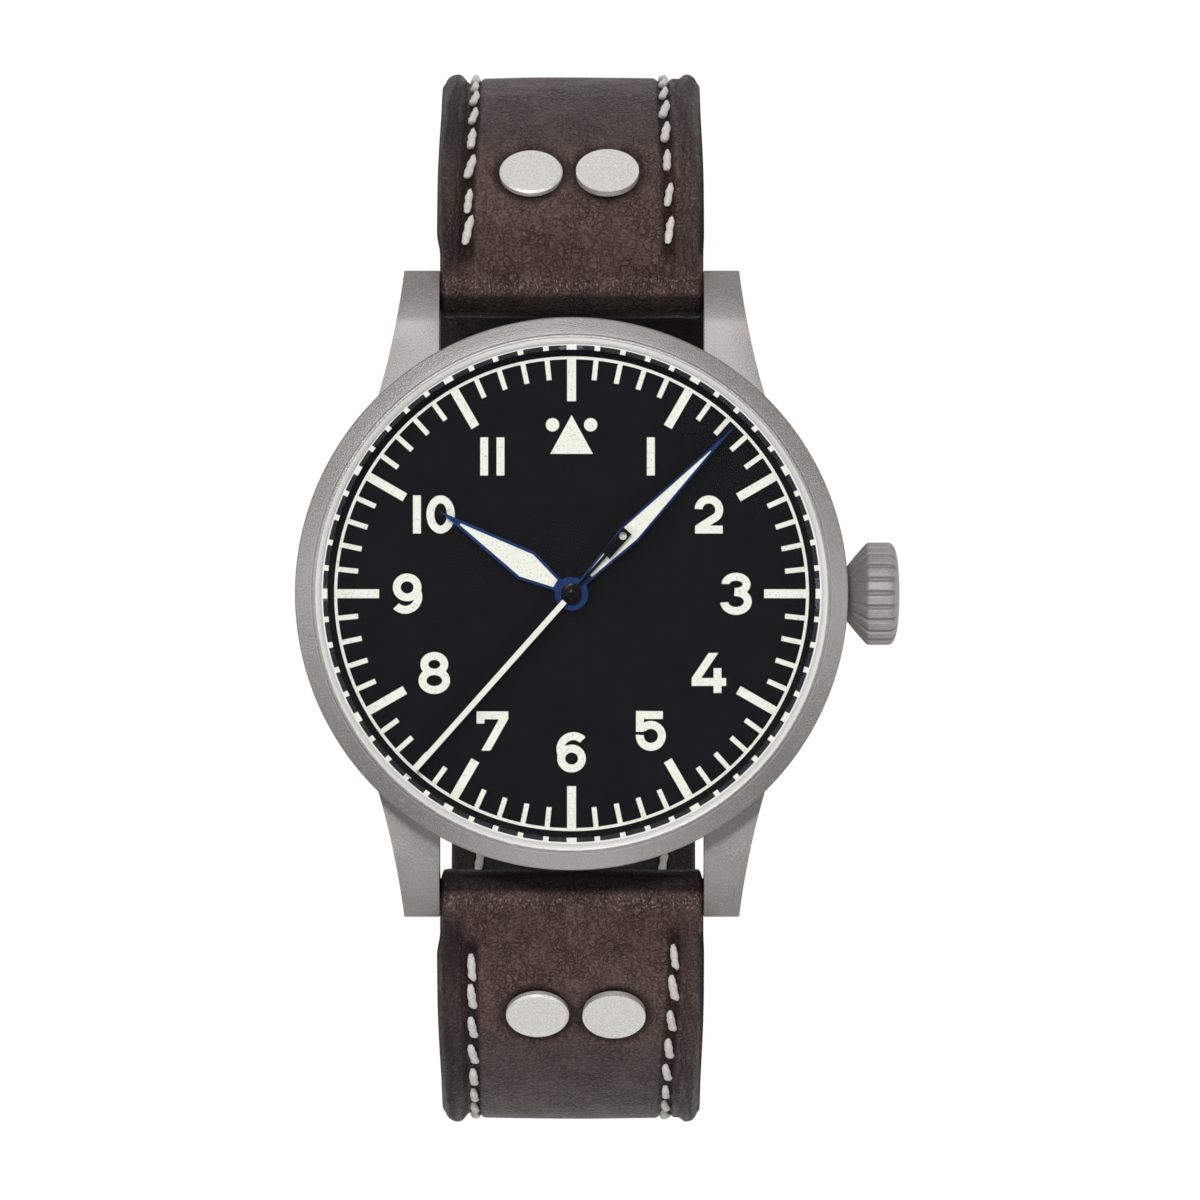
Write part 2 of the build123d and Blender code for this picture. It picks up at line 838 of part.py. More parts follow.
with BuildPart() as main_plate:
    with BuildSketch(Plane.XY.offset(plate_level)):
        Circle(movement_radius)
    extrude(amount=plate_floor_top - plate_level)
    with BuildSketch(Plane.XY.offset(bridge_top)):
        Circle(movement_radius)
        Circle(rim_inner_radius, mode=Mode.SUBTRACT)
    extrude(amount=dial_level - bridge_top)
    # Posts under the bridge screws
    with BuildSketch(Plane.XY.offset(bridge_top)):
        for angle in (*barrel_screw_angles, *train_screw_angles, cock_screw_angle):
            with PolarLocations(screw_circle, 1, start_angle=angle):
                Circle(post_radius)
    extrude(amount=plate_level - bridge_top)
    # Pockets for the barrel and the balance
    with BuildSketch(level_plane(barrel_place, bridge_top)):
        Circle(barrel_distance * barrel_teeth / (barrel_teeth + centre_pinion_teeth) + 3 * running_gap)
    extrude(amount=barrel_pocket_top - bridge_top, mode=Mode.SUBTRACT)
    with BuildSketch(level_plane(balance_place, bridge_top)):
        Circle(balance_radius + 3 * running_gap)
    extrude(amount=plate_level - bridge_top, mode=Mode.SUBTRACT)
    # Slot for the winding and sliding pinions
    with BuildSketch(Plane.XY.offset(bridge_top)):
        with Locations((sliding_pinion_start - clutch_travel - running_gap, 0)):
            Rectangle(
                rim_inner_radius - sliding_pinion_start + clutch_travel - lever_pin_radius,
                2 * slot_half_width,
                align=(Align.MIN, Align.CENTER),
            )
    extrude(amount=stem_level + slot_half_width - bridge_top, mode=Mode.SUBTRACT)
    # Window above the pinions for the yoke's finger and the setting lever's pin
    with BuildSketch(Plane.XY.offset(stem_level)):
        with Locations((sliding_pinion_start - clutch_travel, 0)):
            Rectangle(
                stem_groove_place + crown_pull + stem_groove_width - sliding_pinion_start + clutch_travel,
                2 * lever_pin_radius + stem_groove_width * 3,
                align=(Align.MIN, Align.CENTER),
            )
    extrude(amount=dial_level - stem_level, mode=Mode.SUBTRACT)
    # Recess in the rim for the setting lever's arm when the crown is out
    with BuildSketch(Plane.XY.offset(plate_floor_top)):
        with Locations((stem_groove_place, 0)):
            Rectangle(
                crown_pull + stem_groove_width / 2,
                -setting_lever_y - stem_groove_width,
                align=(Align.MIN, Align.MAX),
            )
    extrude(amount=dial_level - plate_floor_top, mode=Mode.SUBTRACT)
    # Block for the stem's inner pilot
    with BuildSketch(Plane.YZ.offset(plate_pilot_start)):
        with Locations((0, plate_level)):
            Rectangle(
                2 * (stem_pilot_radius + plate_pilot_wall),
                plate_level - stem_level + stem_pilot_radius + plate_pilot_wall,
                align=(Align.CENTER, Align.MAX),
            )
    extrude(amount=plate_pilot_length)
    with BuildSketch(Plane.YZ.offset(plate_pilot_start - plate_pilot_length / 2)):
        with Locations((0, stem_level)):
            Circle(stem_pilot_radius + running_gap)
    extrude(amount=2 * plate_pilot_length, mode=Mode.SUBTRACT)
    # Bore for the stem through the rim
    with BuildSketch(Plane.YZ.offset(winding_pinion_place)):
        with Locations((0, stem_level)):
            Circle(stem_radius + running_gap)
    extrude(amount=movement_radius, mode=Mode.SUBTRACT)
    # Pivot holes
    with BuildSketch(Plane.XY.offset(plate_level)):
        with Locations(*pivot_holes):
            Circle(jewel_radius)
        Circle(centre_tube_radius + running_gap)
        with Locations(barrel_place):
            Circle(train_arbor_radius + running_gap)
    extrude(amount=plate_floor_top - plate_level, mode=Mode.SUBTRACT)

main_plate.part.label = "main_plate"
export_step(main_plate.part, "parts/main_plate.step")

# Bridges

split_line = (
    (movement_radius, -winding_wheel_radius - 2 * bridge_gap),
    (crown_wheel_x - winding_wheel_radius, -winding_wheel_radius - 2 * bridge_gap),
    (jewel_radius + 2 * bridge_gap, jewel_radius),
    (balance_x / 2, balance_y + 2 * jewel_radius),
    balance_place,
)
barrel_side_line = (*split_line, (-movement_radius, balance_y))
train_side_line = (*split_line, cock_screw_place, (-movement_radius, cock_screw_place[1]))
upper_corners = ((-movement_radius, movement_radius), (movement_radius, movement_radius))
lower_corners = ((-movement_radius, -movement_radius), (movement_radius, -movement_radius))
balance_opening = balance_radius + bridge_gap


def bridge_outline(line, corners, shift):
    return [*((x, y + shift) for x, y in line), *corners]


barrel_bridge_outline = bridge_outline(barrel_side_line, upper_corners, bridge_gap / 2)
train_bridge_outline = bridge_outline(train_side_line, lower_corners, -bridge_gap / 2)
with BuildPart() as barrel_bridge:
    with BuildSketch(Plane.XY.offset(bridge_level)):
        Circle(bridge_radius)
        Polygon(*barrel_bridge_outline, align=None, mode=Mode.INTERSECT)
        with Locations(balance_place):
            Circle(balance_opening, mode=Mode.SUBTRACT)
        with Locations(barrel_place):
            Circle(train_arbor_radius * 2 + running_gap, mode=Mode.SUBTRACT)
        for angle in barrel_screw_angles:
            with PolarLocations(screw_circle, 1, start_angle=angle):
                Circle(screw_radius, mode=Mode.SUBTRACT)
    extrude(amount=bridge_thickness)
    # Core that the crown wheel turns on
    core_depth = bridge_level - winding_wheel_level
    with BuildSketch(level_plane(crown_wheel_place, winding_wheel_level)):
        Circle(winding_wheel_radius / 3 - running_gap)
    extrude(amount=core_depth)
    with BuildSketch(level_plane(crown_wheel_place, winding_wheel_level)):
        Circle(core_screw_radius)
    extrude(amount=core_depth + bridge_thickness, mode=Mode.SUBTRACT)
    # Pocket over the sliding pinion and opening for the winding pinion
    with BuildSketch(Plane.XY.offset(stem_level - sliding_pinion_radius - 2 * running_gap)):
        with Locations((sliding_pinion_start - clutch_travel - running_gap, 0)):
            Rectangle(
                rim_inner_radius - sliding_pinion_start + clutch_travel,
                2 * sliding_pinion_radius + 4 * running_gap,
                align=(Align.MIN, Align.CENTER),
            )
    extrude(amount=bridge_thickness, mode=Mode.SUBTRACT)
    with BuildSketch(Plane.XY.offset(bridge_level)):
        with Locations((winding_pinion_start - running_gap, 0)):
            Rectangle(
                winding_pinion_length + 3 * running_gap,
                2 * slot_half_width,
                align=(Align.MIN, Align.CENTER),
            )
    extrude(amount=bridge_thickness, mode=Mode.SUBTRACT)

barrel_bridge.part.label = "barrel_bridge"
export_step(barrel_bridge.part, "parts/barrel_bridge.step")

cock_bearing = bearing(cock_screw_place, balance_place)
cock_span = hypot(balance_x - cock_screw_place[0], balance_y - cock_screw_place[1])
cock_width = balance_radius / 2
cock_turn = radians(cock_bearing)
cock_direction = (cos(cock_turn), sin(cock_turn), 0)
cock_plane = Plane(origin=(*cock_screw_place, bridge_level), x_dir=cock_direction, z_dir=(0, 0, 1))
with BuildPart() as train_bridge:
    with BuildSketch(Plane.XY.offset(bridge_level)):
        Circle(bridge_radius)
        Polygon(*train_bridge_outline, align=None, mode=Mode.INTERSECT)
        with Locations(balance_place):
            Circle(balance_opening, mode=Mode.SUBTRACT)
        with Locations(cock_screw_place):
            Circle(balance_radius / 2 + bridge_gap, mode=Mode.SUBTRACT)
        with Locations(centre_place, third_place, escape_place):
            Circle(jewel_radius, mode=Mode.SUBTRACT)
        for angle in train_screw_angles:
            with PolarLocations(screw_circle, 1, start_angle=angle):
                Circle(screw_radius, mode=Mode.SUBTRACT)
    extrude(amount=bridge_thickness)
    with BuildSketch(cock_plane):
        Rectangle(cock_span, cock_width + 2 * bridge_gap, align=(Align.MIN, Align.CENTER))
    extrude(amount=bridge_thickness, mode=Mode.SUBTRACT)

train_bridge.part.label = "train_bridge"
export_step(train_bridge.part, "parts/train_bridge.step")

with BuildPart() as balance_cock:
    with BuildSketch(cock_plane):
        Rectangle(cock_span, cock_width, align=(Align.MIN, Align.CENTER))
        Circle(balance_radius / 2)
        with Locations((cock_span, 0)):
            Circle(cock_width * 0.75)
            Circle(jewel_radius, mode=Mode.SUBTRACT)
        Circle(screw_radius, mode=Mode.SUBTRACT)
    extrude(amount=bridge_thickness)
    with BuildSketch(Plane.XY.offset(bridge_level)):
        Circle(bridge_radius)
    extrude(amount=bridge_thickness, mode=Mode.INTERSECT)

balance_cock.part.label = "balance_cock"
export_step(balance_cock.part, "parts/balance_cock.step")

fork_bearing = bearing(pallet_place, balance_place)
foot_turn = radians(fork_bearing + 90)
foot_place = (pallet_x + pallet_cock_reach * cos(foot_turn), pallet_y + pallet_cock_reach * sin(foot_turn))
with BuildPart() as pallet_cock:
    with BuildSketch(Plane(origin=(*foot_place, pallet_cock_level))):
        with Locations(Rot(0, 0, fork_bearing - 90)):
            Rectangle(pallet_cock_reach, 2 * jewel_radius, align=(Align.MIN, Align.CENTER))
        Circle(2 * screw_radius)
        with Locations((pallet_x - foot_place[0], pallet_y - foot_place[1])):
            Circle(jewel_radius)
            Circle(jewel_hole_radius, mode=Mode.SUBTRACT)
    extrude(amount=pallet_cock_thickness)
    with BuildSketch(Plane(origin=(*foot_place, pallet_cock_level))):
        Circle(2 * screw_radius)
    extrude(amount=plate_level - pallet_cock_level)

pallet_cock.part.label = "pallet_cock"
export_step(pallet_cock.part, "parts/pallet_cock.step")

# Screws of the bridges and the crown wheel's core

with BuildPart() as movement_screws:
    places = [(screw_circle * cos(radians(a)), screw_circle * sin(radians(a))) for a in barrel_screw_angles]
    places += [(screw_circle * cos(radians(a)), screw_circle * sin(radians(a))) for a in train_screw_angles]
    places += [cock_screw_place]
    with BuildSketch(Plane.XY.offset(bridge_level - screw_head_height)):
        with Locations(*places):
            Circle(screw_head_radius)
    extrude(amount=screw_head_height)
    with BuildSketch(Plane.XY.offset(bridge_level)):
        with Locations(*places):
            Circle(screw_radius)
    extrude(amount=bridge_thickness)
    with BuildSketch(level_plane(crown_wheel_place, winding_wheel_level - screw_head_height)):
        Circle(winding_wheel_radius / 2)
    extrude(amount=screw_head_height - seat_gap)
    with BuildSketch(level_plane(crown_wheel_place, winding_wheel_level - seat_gap)):
        Circle(core_screw_radius)
    extrude(amount=core_depth + bridge_thickness)
    with BuildSketch(Plane.XY.offset(winding_wheel_level - screw_head_height)):
        with Locations(*places, crown_wheel_place):
            Rectangle(winding_wheel_radius, screw_slot_width)
    extrude(amount=screw_slot_depth, mode=Mode.SUBTRACT)

movement_screws.part.label = "movement_screws"
export_step(movement_screws.part, "parts/movement_screws.step")

# Jewels in the bridges and in the plate

with BuildPart() as jewels:
    with BuildSketch(Plane.XY.offset(bridge_top - jewel_thickness)):
        with Locations(centre_place, third_place, escape_place, balance_place):
            Circle(jewel_radius)
            Circle(jewel_hole_radius, mode=Mode.SUBTRACT)
    extrude(amount=jewel_thickness)
    with BuildSketch(Plane.XY.offset(plate_level)):
        with Locations(*pivot_holes):
            Circle(jewel_radius)
            Circle(jewel_hole_radius, mode=Mode.SUBTRACT)
    extrude(amount=jewel_thickness)

jewels.part.label = "jewels"
export_step(jewels.part, "parts/jewels.step")

# Going train: each wheel with its pinion and arbor in one piece

centre_module = 2 * centre_distance / (centre_teeth + third_pinion_teeth)
third_module = 2 * centre_distance / (third_teeth + fourth_pinion_teeth)
fourth_module = 2 * escape_distance / (fourth_teeth + escape_pinion_teeth)
barrel_module = 2 * barrel_distance / (barrel_teeth + centre_pinion_teeth)
to_third = bearing(centre_place, third_place)
to_escape = bearing(centre_place, escape_place)
to_barrel = bearing(centre_place, barrel_place)
wheel_spokes = 5
spoke_width = 0.4
hub_radius = 0.7
lower_pivot_level = bridge_top - jewel_thickness + running_gap
upper_pivot_level = plate_level + jewel_thickness - running_gap


with BuildPart() as centre_wheel:
    with BuildSketch(Plane.XY.offset(centre_wheel_level)):
        spoked_gear(centre_teeth, centre_module, to_third, hub_radius, wheel_spokes, spoke_width)
    extrude(amount=wheel_thickness)
    with BuildSketch(Plane.XY.offset(centre_wheel_level + wheel_thickness)):
        gear_face(centre_pinion_teeth, barrel_module, gap_phase(centre_pinion_teeth, to_barrel))
    extrude(amount=plate_level - running_gap - centre_wheel_level - wheel_thickness)
    with BuildSketch(Plane.XY.offset(centre_wheel_level)):
        Circle(centre_tube_radius)
    extrude(amount=minute_hand_level + hand_thickness - centre_wheel_level)
    with BuildSketch(Plane.XY.offset(centre_wheel_level)):
        Circle(train_arbor_radius + running_gap)
    extrude(amount=minute_hand_level + hand_thickness - centre_wheel_level, mode=Mode.SUBTRACT)

centre_wheel.part.label = "centre_wheel"
export_step(centre_wheel.part, "parts/centre_wheel.step")

with BuildPart() as fourth_wheel:
    with BuildSketch(Plane.XY.offset(fourth_wheel_level)):
        spoked_gear(fourth_teeth, fourth_module, to_escape, hub_radius, wheel_spokes, spoke_width)
    extrude(amount=wheel_thickness)
    with BuildSketch(Plane.XY.offset(fourth_wheel_level + wheel_thickness)):
        gear_face(fourth_pinion_teeth, third_module, gap_phase(fourth_pinion_teeth, to_third))
    extrude(amount=train_pinion_height + wheel_thickness)
    with BuildSketch(Plane.XY.offset(lower_pivot_level)):
        Circle(pivot_radius)
    extrude(amount=fourth_wheel_level - lower_pivot_level)
    with BuildSketch(Plane.XY.offset(fourth_wheel_level)):
        Circle(train_arbor_radius - running_gap)
    extrude(amount=seconds_hand_level + hand_thickness - fourth_wheel_level)

fourth_wheel.part.label = "fourth_wheel"
export_step(fourth_wheel.part, "parts/fourth_wheel.step")

with BuildPart() as third_wheel:
    with BuildSketch(level_plane(third_place, third_wheel_level)):
        spoked_gear(third_teeth, third_module, to_third + 180, hub_radius, wheel_spokes, spoke_width)
    extrude(amount=wheel_thickness)
    with BuildSketch(level_plane(third_place, third_wheel_level + wheel_thickness)):
        gear_face(third_pinion_teeth, centre_module, gap_phase(third_pinion_teeth, to_third + 180))
    extrude(amount=train_pinion_height + wheel_thickness)
    with BuildSketch(level_plane(third_place, lower_pivot_level)):
        Circle(pivot_radius)
    extrude(amount=upper_pivot_level - lower_pivot_level)

third_wheel.part.label = "third_wheel"
export_step(third_wheel.part, "parts/third_wheel.step")


def escape_points(teeth, radius, phase):
    # Each club tooth leans forward from the rim.
    rim = radius * 0.72
    points = []
    for tooth in range(teeth):
        for share, distance in ((0.0, rim), (0.28, radius), (0.40, radius), (0.36, rim)):
            turn = radians(phase) + 2 * pi * (tooth + share) / teeth
            points.append((distance * cos(turn), distance * sin(turn)))
    return points


with BuildPart() as escape_wheel:
    with BuildSketch(level_plane(escape_place, escape_wheel_level)):
        Polygon(*escape_points(escape_teeth, escape_wheel_radius, 0), align=None)
        Circle(escape_wheel_radius * 0.6, mode=Mode.SUBTRACT)
        Circle(hub_radius / 2)
        with PolarLocations(0, wheel_spokes):
            Rectangle(escape_wheel_radius * 0.65, spoke_width / 2, align=(Align.MIN, Align.CENTER))
    extrude(amount=wheel_thickness)
    with BuildSketch(level_plane(escape_place, fourth_wheel_level - running_gap)):
        gear_face(escape_pinion_teeth, fourth_module, gap_phase(escape_pinion_teeth, to_escape + 180))
    extrude(amount=wheel_thickness + 2 * running_gap)
    with BuildSketch(level_plane(escape_place, lower_pivot_level)):
        Circle(pivot_radius)
    extrude(amount=upper_pivot_level - lower_pivot_level)

escape_wheel.part.label = "escape_wheel"
export_step(escape_wheel.part, "parts/escape_wheel.step")

# Pallet fork: two arms over the escape wheel and a forked lever to the balance

with BuildPart() as pallet_fork:
    with BuildSketch(Plane(origin=(*pallet_place, escape_wheel_level))):
        with Locations(Rot(0, 0, fork_bearing)):
            Rectangle(fork_reach, pallet_arm_width, align=(Align.MIN, Align.CENTER))
        with Locations(Rot(0, 0, fork_bearing + 180 - 62), Rot(0, 0, fork_bearing + 180 + 62)):
            Rectangle(pallet_arm, pallet_arm_width, align=(Align.MIN, Align.CENTER))
        Circle(pallet_arm_width)
    extrude(amount=wheel_thickness)
    with BuildSketch(Plane(origin=(*pallet_place, pallet_cock_level + running_gap))):
        Circle(pivot_radius)
    extrude(amount=upper_pivot_level - pallet_cock_level - running_gap)

pallet_fork.part.label = "pallet_fork"
export_step(pallet_fork.part, "parts/pallet_fork.step")

# Balance wheel with its staff and roller, and the hairspring

with BuildPart() as balance_wheel:
    with BuildSketch(level_plane(balance_place, balance_level)):
        Circle(balance_radius)
        Circle(balance_radius - balance_rim_width, mode=Mode.SUBTRACT)
        Rectangle(2 * balance_radius - balance_rim_width, spoke_width * 2)
        Circle(hub_radius)
    extrude(amount=balance_thickness)
    with BuildSketch(level_plane(balance_place, balance_level + balance_thickness)):
        Circle(train_arbor_radius)
    extrude(amount=plate_level - running_gap - balance_level - balance_thickness)
    with BuildSketch(level_plane(balance_place, escape_wheel_level - wheel_thickness - running_gap)):
        Circle(roller_radius)
    extrude(amount=wheel_thickness)
    with BuildSketch(level_plane(balance_place, lower_pivot_level)):
        Circle(pivot_radius)
    extrude(amount=upper_pivot_level - lower_pivot_level)

balance_wheel.part.label = "balance_wheel"
export_step(balance_wheel.part, "parts/balance_wheel.step")


def spiral_points(inner, outer, turns, steps_per_turn):
    points = []
    for step in range(turns * steps_per_turn + 1):
        share = step / (turns * steps_per_turn)
        radius = inner + (outer - inner) * share
        turn = 2 * pi * turns * share
        points.append((radius * cos(turn), radius * sin(turn)))
    return points


def ribbon_points(inner, outer, turns, width):
    steps_per_turn = 12
    inside = spiral_points(inner - width / 2, outer - width / 2, turns, steps_per_turn)
    outside = spiral_points(inner + width / 2, outer + width / 2, turns, steps_per_turn)
    return [*inside, *outside[::-1]]


hairspring_points = ribbon_points(
    hairspring_inner_radius,
    hairspring_outer_radius,
    hairspring_turns,
    hairspring_wire,
)
with BuildPart() as hairspring:
    with BuildSketch(level_plane(balance_place, hairspring_level)):
        Polygon(*hairspring_points, align=None)
    extrude(amount=hairspring_height)

hairspring.part.label = "hairspring"
export_step(hairspring.part, "parts/hairspring.step")

# Barrel: toothed drum with its cover, mainspring and arbor

barrel_drum_radius = barrel_module * (barrel_teeth / 2 - 2)
arbor_core_radius = 1.1
with BuildPart() as barrel_drum:
    with BuildSketch(level_plane(barrel_place, barrel_level)):
        gear_face(barrel_teeth, barrel_module, to_barrel + 180)
        Circle(train_arbor_radius * 2 + running_gap, mode=Mode.SUBTRACT)
    extrude(amount=barrel_tooth_height)
    with BuildSketch(level_plane(barrel_place, barrel_level)):
        Circle(barrel_drum_radius)
        Circle(train_arbor_radius * 2 + running_gap, mode=Mode.SUBTRACT)
    extrude(amount=barrel_height)
    with BuildSketch(level_plane(barrel_place, barrel_level + barrel_wall)):
        Circle(barrel_drum_radius - barrel_wall)
    extrude(amount=barrel_height - 2 * barrel_wall, mode=Mode.SUBTRACT)

barrel_drum.part.label = "barrel_drum"
export_step(barrel_drum.part, "parts/barrel_drum.step")

mainspring_turns = 9
mainspring_strip = 0.14
with BuildPart() as mainspring:
    with BuildSketch(level_plane(barrel_place, barrel_level + barrel_wall + running_gap)):
        Polygon(
            *ribbon_points(
                arbor_core_radius + mainspring_strip,
                barrel_drum_radius - barrel_wall - mainspring_strip,
                mainspring_turns,
                mainspring_strip,
            ),
            align=None,
        )
    extrude(amount=barrel_height - 2 * barrel_wall - 2 * running_gap)

mainspring.part.label = "mainspring"
export_step(mainspring.part, "parts/mainspring.step")

with BuildPart() as barrel_arbor:
    with BuildSketch(level_plane(barrel_place, winding_wheel_level)):
        Circle(train_arbor_radius * 2)
    extrude(amount=barrel_level + barrel_height - barrel_wall - winding_wheel_level)
    with BuildSketch(level_plane(barrel_place, barrel_level + barrel_wall + running_gap)):
        Circle(arbor_core_radius)
    extrude(amount=barrel_height - 2 * barrel_wall - 2 * running_gap)
    with BuildSketch(level_plane(barrel_place, barrel_level)):
        Circle(train_arbor_radius)
    extrude(amount=plate_floor_top - barrel_level)

barrel_arbor.part.label = "barrel_arbor"
export_step(barrel_arbor.part, "parts/barrel_arbor.step")

# Winding wheels and click

to_ratchet = bearing(crown_wheel_place, barrel_place)
with BuildPart() as ratchet_wheel:
    with BuildSketch(level_plane(barrel_place, winding_wheel_level)):
        gear_face(ratchet_teeth, winding_module, gap_phase(ratchet_teeth, to_ratchet + 180))
        Circle(train_arbor_radius * 2, mode=Mode.SUBTRACT)
    extrude(amount=winding_wheel_thickness - running_gap)

ratchet_wheel.part.label = "ratchet_wheel"
export_step(ratchet_wheel.part, "parts/ratchet_wheel.step")

with BuildPart() as crown_wheel:
    with BuildSketch(level_plane(crown_wheel_place, winding_wheel_level)):
        gear_face(crown_wheel_teeth, winding_module, to_ratchet)
        Circle(winding_wheel_radius / 3, mode=Mode.SUBTRACT)
    extrude(amount=winding_wheel_thickness - running_gap)

crown_wheel.part.label = "crown_wheel"
export_step(crown_wheel.part, "parts/crown_wheel.step")

click_place = (
    barrel_x + click_distance * cos(radians(click_angle)),
    barrel_y + click_distance * sin(radians(click_angle)),
)
beak_radius = ratchet_radius + winding_module * tooth_top_share + running_gap
beak_turn = radians(click_angle - 17)
beak_place = (barrel_x + beak_radius * cos(beak_turn), barrel_y + beak_radius * sin(beak_turn))
with BuildPart() as click:
    with BuildSketch(Plane(origin=(*click_place, winding_wheel_level))):
        with Locations(Rot(0, 0, bearing(click_place, beak_place))):
            Rectangle(
                hypot(beak_place[0] - click_place[0], beak_place[1] - click_place[1]),
                lever_arm_width / 2,
                align=(Align.MIN, Align.CENTER),
            )
        Circle(click_hub_radius)
        Circle(screw_radius, mode=Mode.SUBTRACT)
    extrude(amount=winding_wheel_thickness - running_gap)

click.part.label = "click"
export_step(click.part, "parts/click.step")

spring_wire = 0.12
click_spring_bow = CenterArc((0, 0), click_hub_radius + 2 * spring_wire, 100, 190)
with BuildPart() as click_spring:
    with BuildSketch(Plane(origin=(*click_place, winding_wheel_level))):
        trace(click_spring_bow, spring_wire)
    extrude(amount=winding_wheel_thickness)
    with BuildSketch(Plane(origin=(*click_place, winding_wheel_level))):
        Circle(screw_radius - seat_gap)
    extrude(amount=bridge_level - winding_wheel_level)

click_spring.part.label = "click_spring"
export_step(click_spring.part, "parts/click_spring.step")

# Keyless work: winding pinion, sliding pinion and stem on the crown's axis


def stem_plane(place):
    return Plane(origin=(place, 0, stem_level), x_dir=(0, 1, 0), z_dir=(1, 0, 0))


with BuildPart() as winding_pinion:
    with BuildSketch(stem_plane(winding_pinion_start)):
        gear_face(winding_pinion_teeth, winding_module, gap_phase(winding_pinion_teeth, -90))
        Circle(stem_radius + running_gap, mode=Mode.SUBTRACT)
    extrude(amount=winding_pinion_length)

winding_pinion.part.label = "winding_pinion"
export_step(winding_pinion.part, "parts/winding_pinion.step")

with BuildPart() as sliding_pinion:
    with BuildSketch(stem_plane(sliding_pinion_start)):
        gear_face(winding_pinion_teeth, 2 * sliding_pinion_radius / (winding_pinion_teeth + 2), 0)
    extrude(amount=sliding_pinion_length)
    with BuildSketch(stem_plane(sliding_pinion_start + sliding_pinion_length / 2 - sliding_groove_width / 2)):
        Circle(sliding_pinion_radius + cut_overrun)
        Circle(sliding_groove_radius, mode=Mode.SUBTRACT)
    extrude(amount=sliding_groove_width, mode=Mode.SUBTRACT)
    with BuildSketch(stem_plane(sliding_pinion_start)):
        Rectangle(stem_square + running_gap, stem_square + running_gap)
    extrude(amount=sliding_pinion_length, mode=Mode.SUBTRACT)

sliding_pinion.part.label = "sliding_pinion"
export_step(sliding_pinion.part, "parts/sliding_pinion.step")

pilot_start = crown_wheel_x - winding_wheel_radius / 5
crown_top = crown_start + crown_cone_length + crown_grip_length + crown_end_length
with BuildPart() as winding_stem:
    with BuildSketch(stem_plane(pilot_start)):
        Circle(stem_pilot_radius)
    extrude(amount=winding_pinion_start - pilot_start)
    with BuildSketch(stem_plane(sliding_pinion_start - clutch_travel)):
        Rectangle(stem_square, stem_square)
    extrude(amount=winding_pinion_start - sliding_pinion_start + clutch_travel)
    with BuildSketch(stem_plane(winding_pinion_start)):
        Circle(stem_radius)
    extrude(amount=crown_top - crown_end_length - winding_pinion_start)
    with BuildSketch(stem_plane(stem_groove_place - stem_groove_width / 2)):
        Circle(stem_radius + running_gap)
        Circle(stem_groove_radius, mode=Mode.SUBTRACT)
    extrude(amount=stem_groove_width, mode=Mode.SUBTRACT)

winding_stem.part.label = "winding_stem"
export_step(winding_stem.part, "parts/winding_stem.step")

# Crown: a cone at the case, a fluted grip and a domed end

grip_start = crown_start + crown_cone_length
grip_end = grip_start + crown_grip_length
crown_top_level = stem_level + crown_radius
groove_centre_radius = crown_radius + crown_groove_radius * 0.35
with BuildPart() as crown:
    with BuildSketch(Plane.XZ):
        with BuildLine():
            cone = Line((crown_start, stem_level + crown_root_radius), (grip_start, crown_top_level))
            grip = Line(cone @ 1, (grip_end, crown_top_level))
            shoulder = Line(grip @ 1, (grip_end + crown_end_length / 2, crown_top_level - crown_end_length))
            dome = ThreePointArc(
                shoulder @ 1,
                (crown_top - crown_end_length / 8, stem_level + crown_radius / 2),
                (crown_top, stem_level),
            )
            Polyline(dome @ 1, (crown_start, stem_level), cone @ 0)
        make_face()
    revolve(axis=Axis((0, 0, stem_level), (1, 0, 0)))
    fillet(crown.edges().filter_by(GeomType.CIRCLE).sort_by(Axis.X)[2:4], crown_edge_round)
    # Grooves between the ribs run along the cone and the grip
    cone_run = Vector(crown_cone_length, 0, crown_radius - crown_root_radius)
    for rib in range(crown_rib_count):
        turn = radians(360 * rib / crown_rib_count)
        out = Vector(0, sin(turn), cos(turn))
        foot = Vector(crown_start, 0, stem_level) + out * (crown_root_radius + crown_groove_radius * 0.35)
        knee = Vector(grip_start, 0, stem_level) + out * groove_centre_radius
        tip = knee + Vector(crown_grip_length + crown_end_length, 0, 0)
        along_cone = knee - foot
        with BuildSketch(Plane(origin=foot - along_cone, z_dir=along_cone)):
            Circle(crown_groove_radius)
        extrude(amount=2 * along_cone.length, mode=Mode.SUBTRACT)
        with BuildSketch(Plane(origin=knee, z_dir=(1, 0, 0))):
            Circle(crown_groove_radius)
        extrude(amount=(tip - knee).length, mode=Mode.SUBTRACT)
    # Socket over the crown tube, then the bore for the stem
    with BuildSketch(stem_plane(crown_start)):
        Circle(tube_radius - crown_gasket_width + running_gap)
    extrude(amount=crown_bore_depth, mode=Mode.SUBTRACT)
    with BuildSketch(stem_plane(crown_start)):
        Circle(stem_radius)
    extrude(amount=crown_top - crown_end_length - crown_start, mode=Mode.SUBTRACT)
    with BuildSketch(stem_plane(crown_start + crown_gasket_length / 2)):
        Circle(tube_radius)
    extrude(amount=crown_gasket_length, mode=Mode.SUBTRACT)

crown.part.label = "crown"
export_step(crown.part, "parts/crown.step")

with BuildPart() as crown_gasket:
    with BuildSketch(stem_plane(crown_start + crown_gasket_length / 2)):
        Circle(tube_radius)
        Circle(tube_radius - crown_gasket_width + running_gap, mode=Mode.SUBTRACT)
    extrude(amount=crown_gasket_length)

crown_gasket.part.label = "crown_gasket"
export_step(crown_gasket.part, "parts/crown_gasket.step")

# Setting lever and yoke, flat levers under the dial

